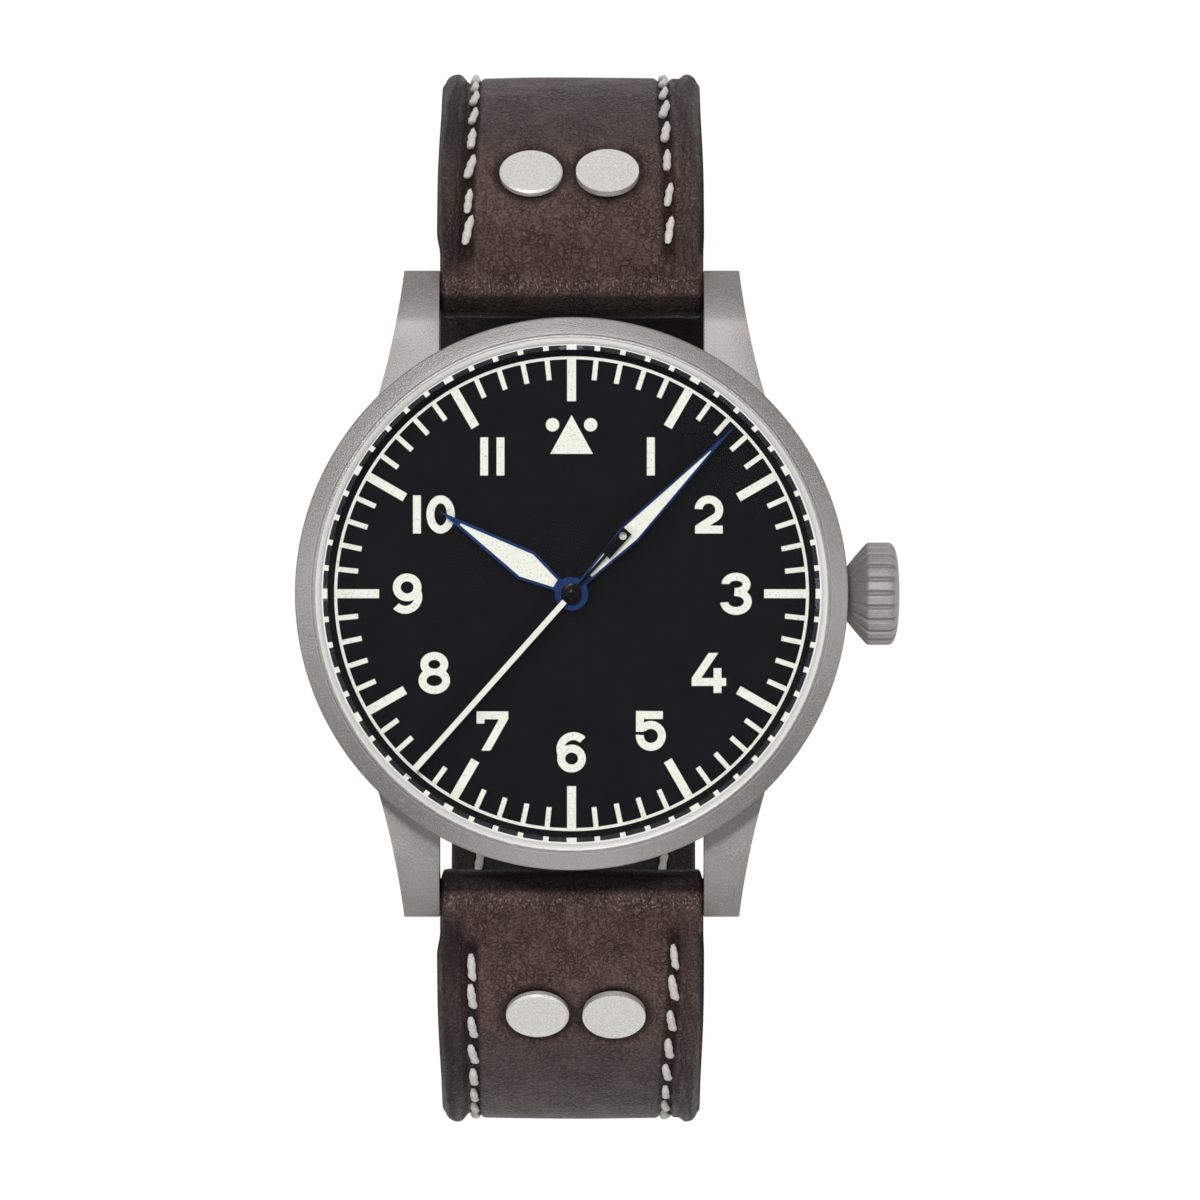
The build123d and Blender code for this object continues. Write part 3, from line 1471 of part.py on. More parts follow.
lever_level = plate_floor_top + running_gap
setting_arm = hypot(stem_groove_place - setting_lever_x, setting_lever_y)
with BuildPart() as setting_lever:
    with BuildSketch(Plane(origin=(setting_lever_x, setting_lever_y, lever_level))):
        with Locations(Rot(0, 0, bearing((setting_lever_x, setting_lever_y), (stem_groove_place, 0)))):
            Rectangle(setting_arm, lever_arm_width / 2, align=(Align.MIN, Align.CENTER))
        Circle(lever_hub_radius)
    extrude(amount=lever_thickness)
    with BuildSketch(Plane(origin=(stem_groove_place, 0, stem_level + stem_groove_radius + running_gap))):
        Circle(lever_pin_radius)
    extrude(amount=lever_level + lever_thickness - stem_level - stem_groove_radius - running_gap)

setting_lever.part.label = "setting_lever"
export_step(setting_lever.part, "parts/setting_lever.step")

yoke_tip_x = sliding_pinion_start + sliding_pinion_length / 2
yoke_arm = hypot(yoke_tip_x - yoke_x, yoke_y)
with BuildPart() as yoke:
    with BuildSketch(Plane(origin=(yoke_x, yoke_y, lever_level))):
        with Locations(Rot(0, 0, bearing((yoke_x, yoke_y), (yoke_tip_x, 0)))):
            Rectangle(yoke_arm, lever_arm_width / 2, align=(Align.MIN, Align.CENTER))
        Circle(lever_hub_radius)
    extrude(amount=lever_thickness)
    with BuildSketch(Plane(origin=(yoke_tip_x, 0, stem_level + sliding_groove_radius + running_gap))):
        Circle(lever_pin_radius)
    extrude(amount=lever_level + lever_thickness - stem_level - sliding_groove_radius - running_gap)

yoke.part.label = "yoke"
export_step(yoke.part, "parts/yoke.step")

# Setting jumper, the spring plate beside the two levers

jumper_x = rim_inner_radius - 4 * lever_hub_radius
jumper_y = setting_lever_y - 2 * lever_hub_radius
with BuildPart() as setting_jumper:
    with BuildSketch(Plane.XY.offset(lever_level - running_gap)):
        with Locations((jumper_x, jumper_y)):
            RectangleRounded(3 * lever_hub_radius, 2 * lever_hub_radius, lever_hub_radius / 2)
        with Locations((jumper_x - lever_hub_radius, jumper_y + 2 * lever_hub_radius)):
            Rectangle(lever_arm_width / 4, 3 * lever_hub_radius)
    extrude(amount=lever_thickness / 2)

setting_jumper.part.label = "setting_jumper"
export_step(setting_jumper.part, "parts/setting_jumper.step")

# Motion work under the dial

cannon_module = 2 * motion_distance / (cannon_teeth + minute_wheel_teeth)
hour_module = 2 * motion_distance / (minute_pinion_teeth + hour_wheel_teeth)
to_minute_wheel = bearing(centre_place, minute_wheel_place)
hour_wheel_level = motion_level + motion_wheel_thickness + running_gap
with BuildPart() as cannon_pinion:
    with BuildSketch(Plane.XY.offset(motion_level)):
        gear_face(cannon_teeth, cannon_module, gap_phase(cannon_teeth, to_minute_wheel))
    extrude(amount=motion_wheel_thickness)
    with BuildSketch(Plane.XY.offset(motion_level)):
        Circle(cannon_radius)
    extrude(amount=minute_hand_level + hand_thickness - motion_level)
    with BuildSketch(Plane.XY.offset(motion_level)):
        Circle(centre_tube_radius)
    extrude(amount=minute_hand_level + hand_thickness - motion_level, mode=Mode.SUBTRACT)

cannon_pinion.part.label = "cannon_pinion"
export_step(cannon_pinion.part, "parts/cannon_pinion.step")

with BuildPart() as hour_wheel:
    with BuildSketch(Plane.XY.offset(hour_wheel_level)):
        gear_face(hour_wheel_teeth, hour_module, to_minute_wheel)
    extrude(amount=motion_wheel_thickness)
    with BuildSketch(Plane.XY.offset(hour_wheel_level)):
        Circle(hour_pipe_radius)
    extrude(amount=hour_hand_level + hand_thickness - hour_wheel_level)
    with BuildSketch(Plane.XY.offset(hour_wheel_level)):
        Circle(hour_pipe_bore)
    extrude(amount=hour_hand_level + hand_thickness - hour_wheel_level, mode=Mode.SUBTRACT)

hour_wheel.part.label = "hour_wheel"
export_step(hour_wheel.part, "parts/hour_wheel.step")

with BuildPart() as minute_wheel:
    with BuildSketch(level_plane(minute_wheel_place, motion_level)):
        gear_face(minute_wheel_teeth, cannon_module, to_minute_wheel + 180)
    extrude(amount=motion_wheel_thickness)
    with BuildSketch(level_plane(minute_wheel_place, motion_level)):
        gear_face(minute_pinion_teeth, hour_module, gap_phase(minute_pinion_teeth, to_minute_wheel + 180))
    extrude(amount=2 * motion_wheel_thickness + running_gap)
    with BuildSketch(level_plane(minute_wheel_place, plate_floor_top)):
        Circle(pivot_radius * 2)
    extrude(amount=motion_level - plate_floor_top)

minute_wheel.part.label = "minute_wheel"
export_step(minute_wheel.part, "parts/minute_wheel.step")

# Strap: both halves follow three bends round the wrist, then run straight


def strap_bends(side, last_radius):
    # Each bend is (centre, radius of the outer face, start angle, sweep), in the plane of Y and Z.
    first_centre = Vector(strap_ridge, roll_top - first_bend_radius)
    corner = Vector(cos(pi / 4), sin(pi / 4))
    second_centre = first_centre + corner * (first_bend_radius - second_bend_radius)
    last_centre = second_centre + Vector(second_bend_radius - last_radius, 0)
    bends = ((first_centre, first_bend_radius, 90, -45), (second_centre, second_bend_radius, 45, -45))
    bends += ((last_centre, last_radius, 0, -90),)
    if side > 0:
        return bends
    return [(Vector(-c.X, c.Y), radius, 180 - start, -sweep) for c, radius, start, sweep in bends]


def strap_end(side, last_radius, run):
    # Where the outer face of the straight run ends.
    centre = strap_bends(side, last_radius)[2][0]
    return (centre.X - side * run, centre.Y - last_radius)


def strap_layer(side, last_radius, run, outer_depth, inner_depth):
    # A layer of the strap between two depths under its outer face.
    bends = strap_bends(side, last_radius)
    end_y, end_z = strap_end(side, last_radius, run)
    root = side * spring_bar_distance
    with BuildLine() as outline:
        outer = [CenterArc(c, radius - outer_depth, start, sweep) for c, radius, start, sweep in bends]
        inner = [CenterArc(c, radius - inner_depth, start, sweep) for c, radius, start, sweep in bends]
        Polyline(inner[0] @ 0, (root, roll_top - inner_depth), (root, roll_top - outer_depth), outer[0] @ 0)
        Polyline(outer[2] @ 1, (end_y, end_z + outer_depth), (end_y, end_z + inner_depth), inner[2] @ 1)
    return outline.line


def strap_across(width):
    return Plane.YZ.offset(-width / 2)


def rivet_plane(side, depth):
    # The rivets sit where the first bend meets the second, square to the surface.
    bend = strap_bends(side, upper_bend_radius)[0]
    reach = (bend[1] - depth) * cos(pi / 4)
    y = bend[0].X + side * reach
    z = bend[0].Y + reach
    return Plane(origin=(0, y, z), x_dir=(1, 0, 0), z_dir=(0, side * sin(pi / 4), cos(pi / 4)))


def rivet_places(shift):
    return Locations((shift - rivet_spacing / 2, 0), (shift + rivet_spacing / 2, 0))


upper_end = strap_end(1, upper_bend_radius, upper_run)
lower_end = strap_end(-1, lower_bend_radius, lower_run)
pin_y = upper_end[0] + pin_setback
pin_z = upper_end[1] + strap_thickness / 2

with BuildPart() as upper_strap:
    with BuildSketch(strap_across(strap_width)):
        make_face(strap_layer(1, upper_bend_radius, upper_run, 0, leather_thickness).edges())
        with Locations((spring_bar_distance, spring_bar_level)):
            Circle(roll_radius)
            Circle(roll_bore_radius, mode=Mode.SUBTRACT)
        with Locations((pin_y, pin_z)):
            Circle(pin_loop_radius)
            Circle(pin_radius, mode=Mode.SUBTRACT)
    extrude(amount=strap_width)
    # Slot for the buckle's tongue
    with BuildSketch(Plane.XY.offset(pin_z - pin_loop_radius - cut_overrun)):
        with Locations((0, pin_y + tongue_eye_radius + tongue_slot_gap)):
            Rectangle(
                tongue_width + 2 * tongue_slot_gap,
                pin_loop_radius + tongue_eye_radius + cut_overrun,
                align=(Align.CENTER, Align.MAX),
            )
    extrude(amount=2 * pin_loop_radius + 2 * cut_overrun, mode=Mode.SUBTRACT)
    # Holes and seats for the rivets
    with BuildSketch(rivet_plane(1, strap_thickness)):
        with rivet_places(upper_rivet_shift):
            Circle(rivet_shank_radius)
    extrude(amount=strap_thickness, mode=Mode.SUBTRACT)
    with BuildSketch(rivet_plane(1, rivet_cap_thickness - rivet_cap_proud)):
        with rivet_places(upper_rivet_shift):
            Circle(rivet_cap_radius)
    extrude(amount=rivet_cap_thickness, mode=Mode.SUBTRACT)

upper_strap.part.label = "upper_strap"
export_step(upper_strap.part, "parts/upper_strap.step")

with BuildPart() as upper_lining:
    with BuildSketch(strap_across(strap_width)):
        make_face(strap_layer(1, upper_bend_radius, upper_run, leather_thickness, strap_thickness).edges())
        with Locations((spring_bar_distance, spring_bar_level)):
            Circle(roll_radius, mode=Mode.SUBTRACT)
        with Locations((pin_y, pin_z)):
            Circle(pin_loop_radius, mode=Mode.SUBTRACT)
    extrude(amount=strap_width)
    with BuildSketch(rivet_plane(1, strap_thickness + cut_overrun)):
        with rivet_places(upper_rivet_shift):
            Circle(rivet_shank_radius)
    extrude(amount=strap_thickness + cut_overrun, mode=Mode.SUBTRACT)

upper_lining.part.label = "upper_lining"
export_step(upper_lining.part, "parts/upper_lining.step")

with BuildPart() as lower_strap:
    with BuildSketch(strap_across(strap_width)):
        make_face(strap_layer(-1, lower_bend_radius, lower_run, 0, leather_thickness).edges())
        with Locations((-spring_bar_distance, spring_bar_level)):
            Circle(roll_radius)
            Circle(roll_bore_radius, mode=Mode.SUBTRACT)
    extrude(amount=strap_width)
    with BuildSketch(rivet_plane(-1, strap_thickness)):
        with rivet_places(lower_rivet_shift):
            Circle(rivet_shank_radius)
    extrude(amount=strap_thickness, mode=Mode.SUBTRACT)
    with BuildSketch(rivet_plane(-1, rivet_cap_thickness - rivet_cap_proud)):
        with rivet_places(lower_rivet_shift):
            Circle(rivet_cap_radius)
    extrude(amount=rivet_cap_thickness, mode=Mode.SUBTRACT)
    # Holes for the tongue
    with BuildSketch(Plane.XY.offset(lower_end[1])):
        for hole in range(hole_count):
            with Locations((0, lower_end[0] - tail_point_length - hole * hole_spacing)):
                Circle(hole_radius)
    extrude(amount=strap_thickness, mode=Mode.SUBTRACT)
    fillet(
        lower_strap.edges().filter_by(Axis.Z).sort_by(Axis.Y)[-2:],
        strap_width * 0.4,
    )

lower_strap.part.label = "lower_strap"
export_step(lower_strap.part, "parts/lower_strap.step")

with BuildPart() as lower_lining:
    with BuildSketch(strap_across(strap_width)):
        make_face(strap_layer(-1, lower_bend_radius, lower_run, leather_thickness, strap_thickness).edges())
        with Locations((-spring_bar_distance, spring_bar_level)):
            Circle(roll_radius, mode=Mode.SUBTRACT)
    extrude(amount=strap_width)
    with BuildSketch(rivet_plane(-1, strap_thickness + cut_overrun)):
        with rivet_places(lower_rivet_shift):
            Circle(rivet_shank_radius)
    extrude(amount=strap_thickness + cut_overrun, mode=Mode.SUBTRACT)
    with BuildSketch(Plane.XY.offset(lower_end[1])):
        for hole in range(hole_count):
            with Locations((0, lower_end[0] - tail_point_length - hole * hole_spacing)):
                Circle(hole_radius)
    extrude(amount=strap_thickness, mode=Mode.SUBTRACT)
    fillet(
        lower_lining.edges().filter_by(Axis.Z).sort_by(Axis.Y)[-2:],
        strap_width * 0.4,
    )

lower_lining.part.label = "lower_lining"
export_step(lower_lining.part, "parts/lower_lining.step")

# Rivets: cap, shank and the washer under the lining

for side, shift, label in ((1, upper_rivet_shift, "upper_rivets"), (-1, lower_rivet_shift, "lower_rivets")):
    with BuildPart() as rivets:
        with BuildSketch(rivet_plane(side, rivet_cap_thickness - rivet_cap_proud)):
            with rivet_places(shift):
                Circle(rivet_cap_radius)
        extrude(amount=rivet_cap_thickness)
        chamfer(rivets.edges().filter_by(GeomType.CIRCLE).group_by(SortBy.DISTANCE)[-1], rivet_cap_proud / 2)
        with BuildSketch(rivet_plane(side, strap_thickness + rivet_washer_thickness)):
            with rivet_places(shift):
                Circle(rivet_shank_radius)
        extrude(amount=strap_thickness)
        with BuildSketch(rivet_plane(side, strap_thickness + rivet_washer_thickness * 1.5)):
            with rivet_places(shift):
                Circle(2 * rivet_shank_radius)
        extrude(amount=rivet_washer_thickness)
    rivets.part.label = label
    export_step(rivets.part, f"parts/{label}.step")

# Keepers round the straight run of the upper half

keeper_inner_width = strap_width + 2 * keeper_side_gap
keeper_outer_drop = strap_thickness + 2 * keeper_face_gap
run_face = upper_end[1]


def keeper_section(face_gap):
    top = run_face + strap_thickness + face_gap
    bottom = run_face - keeper_outer_drop
    with Locations((0, (top + bottom) / 2)):
        Rectangle(keeper_inner_width + 2 * keeper_wall, top - bottom + 2 * keeper_wall)
        Rectangle(keeper_inner_width, top - bottom, mode=Mode.SUBTRACT)


def across_run(place):
    return Plane(origin=(0, place, 0), x_dir=(1, 0, 0), z_dir=(0, -1, 0))


with BuildPart() as fixed_keeper:
    with BuildSketch(across_run(upper_end[0] + fixed_keeper_offset + keeper_width)):
        keeper_section(0)
    extrude(amount=keeper_width)

fixed_keeper.part.label = "fixed_keeper"
export_step(fixed_keeper.part, "parts/fixed_keeper.step")

with BuildPart() as floating_keeper:
    with BuildSketch(across_run(upper_end[0] + floating_keeper_offset + keeper_width)):
        keeper_section(keeper_face_gap)
    extrude(amount=keeper_width)

floating_keeper.part.label = "floating_keeper"
export_step(floating_keeper.part, "parts/floating_keeper.step")

# Buckle, its pin and its tongue

buckle_outer_width = buckle_inner_width + 2 * buckle_side_width
bar_y = pin_y - buckle_length
with BuildPart() as buckle_pin:
    with BuildSketch(Plane.YZ.offset(-buckle_outer_width / 2)):
        with Locations((pin_y, pin_z)):
            Circle(pin_radius)
    extrude(amount=buckle_outer_width)

buckle_pin.part.label = "buckle_pin"
export_step(buckle_pin.part, "parts/buckle_pin.step")

with BuildPart() as buckle:
    with BuildSketch(Plane.XY.offset(pin_z - buckle_thickness / 2)):
        with Locations((0, (pin_y + bar_y) / 2)):
            Rectangle(buckle_outer_width, buckle_length)
        with Locations((0, bar_y + buckle_bar_width)):
            Rectangle(buckle_inner_width, buckle_length, align=(Align.CENTER, Align.MIN), mode=Mode.SUBTRACT)
    extrude(amount=buckle_thickness)
    fillet(buckle.edges().filter_by(Axis.Z).sort_by(Axis.Y)[:2], buckle_corner_radius)
    # Ears round the pin
    for ear_side in (-1, 1):
        ear_start = ear_side * (buckle_inner_width + buckle_side_width) / 2 - buckle_side_width / 2
        with BuildSketch(Plane.YZ.offset(ear_start)):
            with Locations((pin_y, pin_z)):
                Circle(buckle_thickness * 0.65)
        extrude(amount=buckle_side_width)
    with BuildSketch(Plane.YZ.offset(-buckle_outer_width / 2)):
        with Locations((pin_y, pin_z)):
            Circle(pin_radius + running_gap)
    extrude(amount=buckle_outer_width, mode=Mode.SUBTRACT)
    # Notch that the tongue's tip rests in
    with BuildSketch(Plane.XY.offset(pin_z - buckle_thickness / 2)):
        with Locations((0, bar_y)):
            Rectangle(tongue_width + 2 * tongue_slot_gap, 2 * buckle_bar_width)
    extrude(amount=tongue_thickness, mode=Mode.SUBTRACT)

buckle.part.label = "buckle"
export_step(buckle.part, "parts/buckle.step")

tongue_top = pin_z - buckle_thickness / 2 + tongue_thickness - tongue_notch_gap
tongue_tip = buckle_bar_width * 0.9
with BuildPart() as buckle_tongue:
    with BuildSketch(Plane.YZ.offset(-tongue_width / 2)):
        with Locations((pin_y, pin_z)):
            Circle(tongue_eye_radius)
        with BuildLine():
            Polyline(
                (pin_y, tongue_top),
                (bar_y + tongue_tip / 4, tongue_top),
                (bar_y + tongue_tip / 4, tongue_top - tongue_thickness / 2),
                (bar_y + tongue_tip, tongue_top - tongue_thickness),
                (pin_y, tongue_top - tongue_thickness),
                close=True,
            )
        make_face()
        with Locations((pin_y, pin_z)):
            Circle(pin_radius + running_gap, mode=Mode.SUBTRACT)
    extrude(amount=tongue_width)

buckle_tongue.part.label = "buckle_tongue"
export_step(buckle_tongue.part, "parts/buckle_tongue.step")
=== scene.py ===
import json
from math import atan2, cos, hypot, pi, radians, sin, sqrt, tau

import bmesh
import bpy
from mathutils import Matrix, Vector, noise


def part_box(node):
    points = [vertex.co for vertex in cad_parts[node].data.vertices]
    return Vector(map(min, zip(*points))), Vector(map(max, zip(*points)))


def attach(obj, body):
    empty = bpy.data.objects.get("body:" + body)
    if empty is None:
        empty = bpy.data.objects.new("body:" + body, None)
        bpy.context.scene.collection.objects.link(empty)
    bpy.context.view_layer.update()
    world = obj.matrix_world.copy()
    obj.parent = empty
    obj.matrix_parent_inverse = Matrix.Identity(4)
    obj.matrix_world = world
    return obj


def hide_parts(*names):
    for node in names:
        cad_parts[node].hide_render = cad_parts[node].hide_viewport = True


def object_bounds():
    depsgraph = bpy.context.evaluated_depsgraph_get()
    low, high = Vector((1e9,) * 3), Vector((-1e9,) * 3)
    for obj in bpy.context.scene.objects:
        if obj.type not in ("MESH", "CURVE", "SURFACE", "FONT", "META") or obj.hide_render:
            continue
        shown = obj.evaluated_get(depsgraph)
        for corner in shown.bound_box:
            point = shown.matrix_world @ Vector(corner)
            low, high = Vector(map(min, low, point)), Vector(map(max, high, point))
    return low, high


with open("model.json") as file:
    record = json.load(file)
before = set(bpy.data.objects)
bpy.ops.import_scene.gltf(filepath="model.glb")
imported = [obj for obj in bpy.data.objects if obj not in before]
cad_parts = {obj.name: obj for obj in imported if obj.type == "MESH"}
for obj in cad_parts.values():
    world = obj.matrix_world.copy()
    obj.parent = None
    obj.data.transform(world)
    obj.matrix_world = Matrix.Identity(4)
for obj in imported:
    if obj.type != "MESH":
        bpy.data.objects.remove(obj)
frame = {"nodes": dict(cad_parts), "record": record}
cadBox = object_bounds()
scene = bpy.context.scene
mm = 0.001
metre = 1000.0


# Camera: straight above the dial, as far off as the photograph's was, in millimetres

view = {"place": (2.16, -0.48, 743.0), "lens": 290.0, "sensor": 36.0, "near": 0.01, "far": 20.0}


def makeCamera():
    data = bpy.data.cameras.new("camera")
    data.lens = view["lens"]
    data.sensor_width = view["sensor"]
    data.sensor_fit = "HORIZONTAL"
    data.clip_start = view["near"]
    data.clip_end = view["far"]
    scene.camera = addObject("camera", data)
    scene.camera.location = [v * mm for v in view["place"]]
    print("camera placed")


# Node helpers


def addNode(tree, kind, sockets=None, **settings):
    made = tree.nodes.new(kind)
    for name, value in settings.items():
        setattr(made, name, value)
    for name, value in (sockets or {}).items():
        socket = made.inputs[name]
        if isinstance(value, bpy.types.NodeSocket):
            tree.links.new(value, socket)
        else:
            socket.default_value = value
    return made


def nodeValue(tree, kind, sockets=None, output=0, **settings):
    return addNode(tree, kind, sockets, **settings).outputs[output]


def calc(tree, operation, first, second=0.0):
    return nodeValue(tree, "ShaderNodeMath", {0: first, 1: second}, operation=operation)


def vectorCalc(tree, operation, sockets, output=0):
    return nodeValue(tree, "ShaderNodeVectorMath", sockets, output, operation=operation)


def mixColours(tree, factor, first, second):
    return nodeValue(tree, "ShaderNodeMix", {0: factor, 6: first, 7: second}, 2, data_type="RGBA")


def remap(tree, value, low, high, toLow=0.0, toHigh=1.0):
    return nodeValue(tree, "ShaderNodeMapRange", {0: value, 1: low, 2: high, 3: toLow, 4: toHigh})


def objectSpace(tree):
    return nodeValue(tree, "ShaderNodeTexCoord", None, "Object")


def noiseFrom(tree, vector, scale, detail, output="Fac"):
    return nodeValue(tree, "ShaderNodeTexNoise", {"Vector": vector, "Scale": scale, "Detail": detail}, output)


def meshMark(tree, label):
    return nodeValue(tree, "ShaderNodeAttribute", None, "Fac", attribute_name=label)


def feed(node, label, value):
    node.id_data.links.new(value, node.inputs[label])


def axisDistance(tree, place):
    flat = vectorCalc(tree, "MULTIPLY", {0: place, 1: (1.0, 1.0, 0.0)})
    return vectorCalc(tree, "LENGTH", {0: flat}, "Value")


def colour(r, g, b):
    # sRGB numbers, 0 to 255, as a linear colour
    shares = [v / 255 for v in (r, g, b)]
    return (*(v / 12.92 if v <= 0.04045 else ((v + 0.055) / 1.055) ** 2.4 for v in shares), 1.0)


def shaded(base, share):
    return (*(v * share for v in base[:3]), 1.0)


def makeGroup(name, build, **inputs):
    # A group of number sockets, whose inputs build turns into its outputs
    group = bpy.data.node_groups.new(name, "ShaderNodeTree")
    for label, value in inputs.items():
        group.interface.new_socket(label, in_out="INPUT", socket_type="NodeSocketFloat").default_value = value
    results = build(group, addNode(group, "NodeGroupInput").outputs)
    for label in results:
        group.interface.new_socket(label, in_out="OUTPUT", socket_type="NodeSocketFloat")
    addNode(group, "NodeGroupOutput", results)
    return group


def useGroup(tree, group, **values):
    return addNode(tree, "ShaderNodeGroup", values, node_tree=group).outputs


# Shared effects, each a group that puts out only masks and heights


def blastGrain(group, ask):
    # Size is in millimetres, Pits is the share of round pits in the grain
    place = objectSpace(group)
    frequency = calc(group, "DIVIDE", metre, ask["Size"])
    pits = nodeValue(group, "ShaderNodeTexVoronoi", {"Vector": place, "Scale": frequency}, "Distance")
    dust = noiseFrom(group, place, frequency, 4.0)
    return {
        "Height": nodeValue(group, "ShaderNodeMix", {0: ask["Pits"], 2: dust, 3: pits}, data_type="FLOAT"),
        "Cloud": noiseFrom(group, place, calc(group, "MULTIPLY", frequency, 0.012), 3.0),
    }


hide = {
    "warpScale": 1100.0, "warp": 0.0009, "patches": 420.0, "clouds": 190.0,
    # scale and stretch of each noise, and how wide its lines are
    "fine": (5600.0, (0.8, 1.0, 1.0)), "glint": (7400.0, (1.0, 0.5, 0.5)),
    "crease": (1500.0, (1.0, 0.42, 0.42), 0.05), "long": (1400.0, (1.0, 0.05, 0.05), 0.11),
    "relief": 0.75,
}


def hideGrain(group, ask):
    # Speckled grain, pebbles that come and go, short creases, and long creases that run with the strap
    place = objectSpace(group)
    warp = noiseFrom(group, place, hide["warpScale"], 2.0, "Color")
    pull = vectorCalc(group, "SCALE", {0: warp, 3: hide["warp"]})
    bent = vectorCalc(group, "ADD", {0: place, 1: pull})

    def stretched(source, scale, stretch, detail):
        vector = nodeValue(group, "ShaderNodeMapping", {"Vector": source, "Scale": stretch})
        return noiseFrom(group, vector, scale, detail)

    def lines(kind, share):
        scale, stretch, width = hide[kind]
        away = calc(group, "ABSOLUTE", calc(group, "SUBTRACT", stretched(bent, scale, stretch, 3.0), 0.5))
        return calc(group, "MULTIPLY", remap(group, away, 0.0, width, 1.0, 0.0), share)

    frequency = calc(group, "DIVIDE", metre, ask["Pebble"])
    sockets = {"Vector": bent, "Scale": frequency}
    cells = nodeValue(group, "ShaderNodeTexVoronoi", sockets, "Distance", feature="DISTANCE_TO_EDGE")
    grown = remap(group, noiseFrom(group, bent, hide["patches"], 2.0), 0.4, 0.6, 0.15, 0.75)
    crevice = calc(group, "MULTIPLY", remap(group, cells, 0.01, 0.12, 1.0, 0.0), grown)
    fine = stretched(place, *hide["fine"], 4.0)
    crease = calc(group, "MULTIPLY", lines("crease", ask["Crease"]), 0.5)
    deep = calc(group, "MAXIMUM", crease, calc(group, "MAXIMUM", crevice, lines("long", ask["Long"])))
    return {
        "Height": calc(group, "MULTIPLY", calc(group, "SUBTRACT", fine, deep), hide["relief"]),
        "Tone": noiseFrom(group, bent, hide["clouds"], 4.0),
        "Speckle": remap(group, fine, 0.41, 0.6),
        "Deep": deep,
        "Glint": remap(group, stretched(place, *hide["glint"], 2.0), 0.57, 0.68, 0.0, 0.6),
    }


def brushedLines(group, ask):
    # Across and Along are the size of a scratch in millimetres, Turn its direction
    sockets = {"Vector": objectSpace(group), "Angle": ask["Turn"]}
    turned = nodeValue(group, "ShaderNodeVectorRotate", sockets, rotation_type="Z_AXIS")
    along, across = (calc(group, "DIVIDE", metre, ask[label]) for label in ("Along", "Across"))
    pull = nodeValue(group, "ShaderNodeCombineXYZ", {0: along, 1: across, 2: across})
    return {"Height": noiseFrom(group, vectorCalc(group, "MULTIPLY", {0: turned, 1: pull}), 1.0, 3.0)}


grainGroup = makeGroup("blastGrain", blastGrain, Size=0.1, Pits=0.5)
leatherGroup = makeGroup("hideGrain", hideGrain, Pebble=0.4, Crease=1.0, Long=0.0)
brushGroup = makeGroup("brushedLines", brushedLines, Across=0.03, Along=2.0, Turn=0.0)


def startMaterial(name, base, roughness, metallic=0.0, constants=None):
    material = bpy.data.materials.new(name)
    material.use_nodes = True
    tree = material.node_tree
    shader = tree.nodes["Principled BSDF"]
    plain = {"Base Color": base, "Roughness": roughness, "Metallic": metallic}
    for label, value in {**plain, **(constants or {})}.items():
        shader.inputs[label].default_value = value
    return material, tree, shader


def addBump(tree, shader, height, depth):
    # depth is in millimetres
    bump = nodeValue(tree, "ShaderNodeBump", {"Strength": 1.0, "Distance": depth * mm, "Height": height})
    feed(shader, "Normal", bump)


def blendShaders(tree, factor, first, second):
    mixed = nodeValue(tree, "ShaderNodeMixShader", {0: factor, 1: first.outputs[0], 2: second.outputs[0]})
    feed(tree.nodes["Material Output"], "Surface", mixed)


def drive(tree, shader, pattern, tones=None, roughs=None):
    # A pattern drives the colour and the roughness, each over its own range
    if tones:
        low, high, first, second = tones
        share = remap(tree, pattern, low, high)
        feed(shader, "Base Color", mixColours(tree, share, colour(*first), colour(*second)))
    if roughs:
        feed(shader, "Roughness", remap(tree, pattern, *roughs))


# Materials with the blasted grain: enamel, paint, rubber, nylon, ruby and satin metal

grained = {
    "satinSilver": {
        "base": (226, 224, 219), "rough": 0.42, "metallic": 0.7, "size": 0.13, "pits": 0.75, "bump": 0.015,
        "tones": (0.2, 0.65, (206, 204, 197), (238, 236, 231)), "roughs": (0.1, 0.7, 0.34, 0.54),
    },
    "dialBlack": {
        "base": (26, 26, 28), "rough": 0.72, "size": 0.12, "pits": 0.35, "bump": 0.02,
        "tones": (0.3, 0.75, (11, 10, 11), (25, 24, 25)), "constants": {"Specular IOR Level": 0.02},
    },
    "lume": {
        "base": (236, 235, 224), "rough": 0.8, "size": 0.14, "pits": 0.2, "bump": 0.008,
        "tones": (0.34, 0.44, (190, 188, 176), (236, 235, 224)), "constants": {"Specular IOR Level": 0.2},
    },
    "gasketRubber": {
        "base": (34, 34, 35), "rough": 0.6, "size": 0.08, "pits": 0.3, "bump": 0.004,
        "source": "Cloud", "roughs": (0.3, 0.7, 0.5, 0.7),
    },
    "seatNylon": {
        "base": (232, 231, 228), "rough": 0.5, "size": 0.1, "pits": 0.2, "roughs": (0.3, 0.7, 0.42, 0.58),
    },
    "ruby": {
        "base": (170, 18, 60), "rough": 0.08, "size": 0.3, "pits": 0.2,
        "source": "Cloud", "tones": (0.0, 1.0, (150, 12, 50), (196, 34, 84)), "constants": {"Coat Weight": 0.6},
    },
}


def makeGrained(name):
    look = grained[name]
    base, metallic = colour(*look["base"]), look.get("metallic", 0.0)
    material, tree, shader = startMaterial(name, base, look["rough"], metallic, look.get("constants"))
    grain = useGroup(tree, grainGroup, Size=look["size"], Pits=look["pits"])
    drive(tree, shader, grain[look.get("source", "Height")], look.get("tones"), look.get("roughs"))
    if "bump" in look:
        addBump(tree, shader, grain["Height"], look["bump"])
    return material


# Brushed metals: base colour, roughness, the scratches' width and length, bump and direction

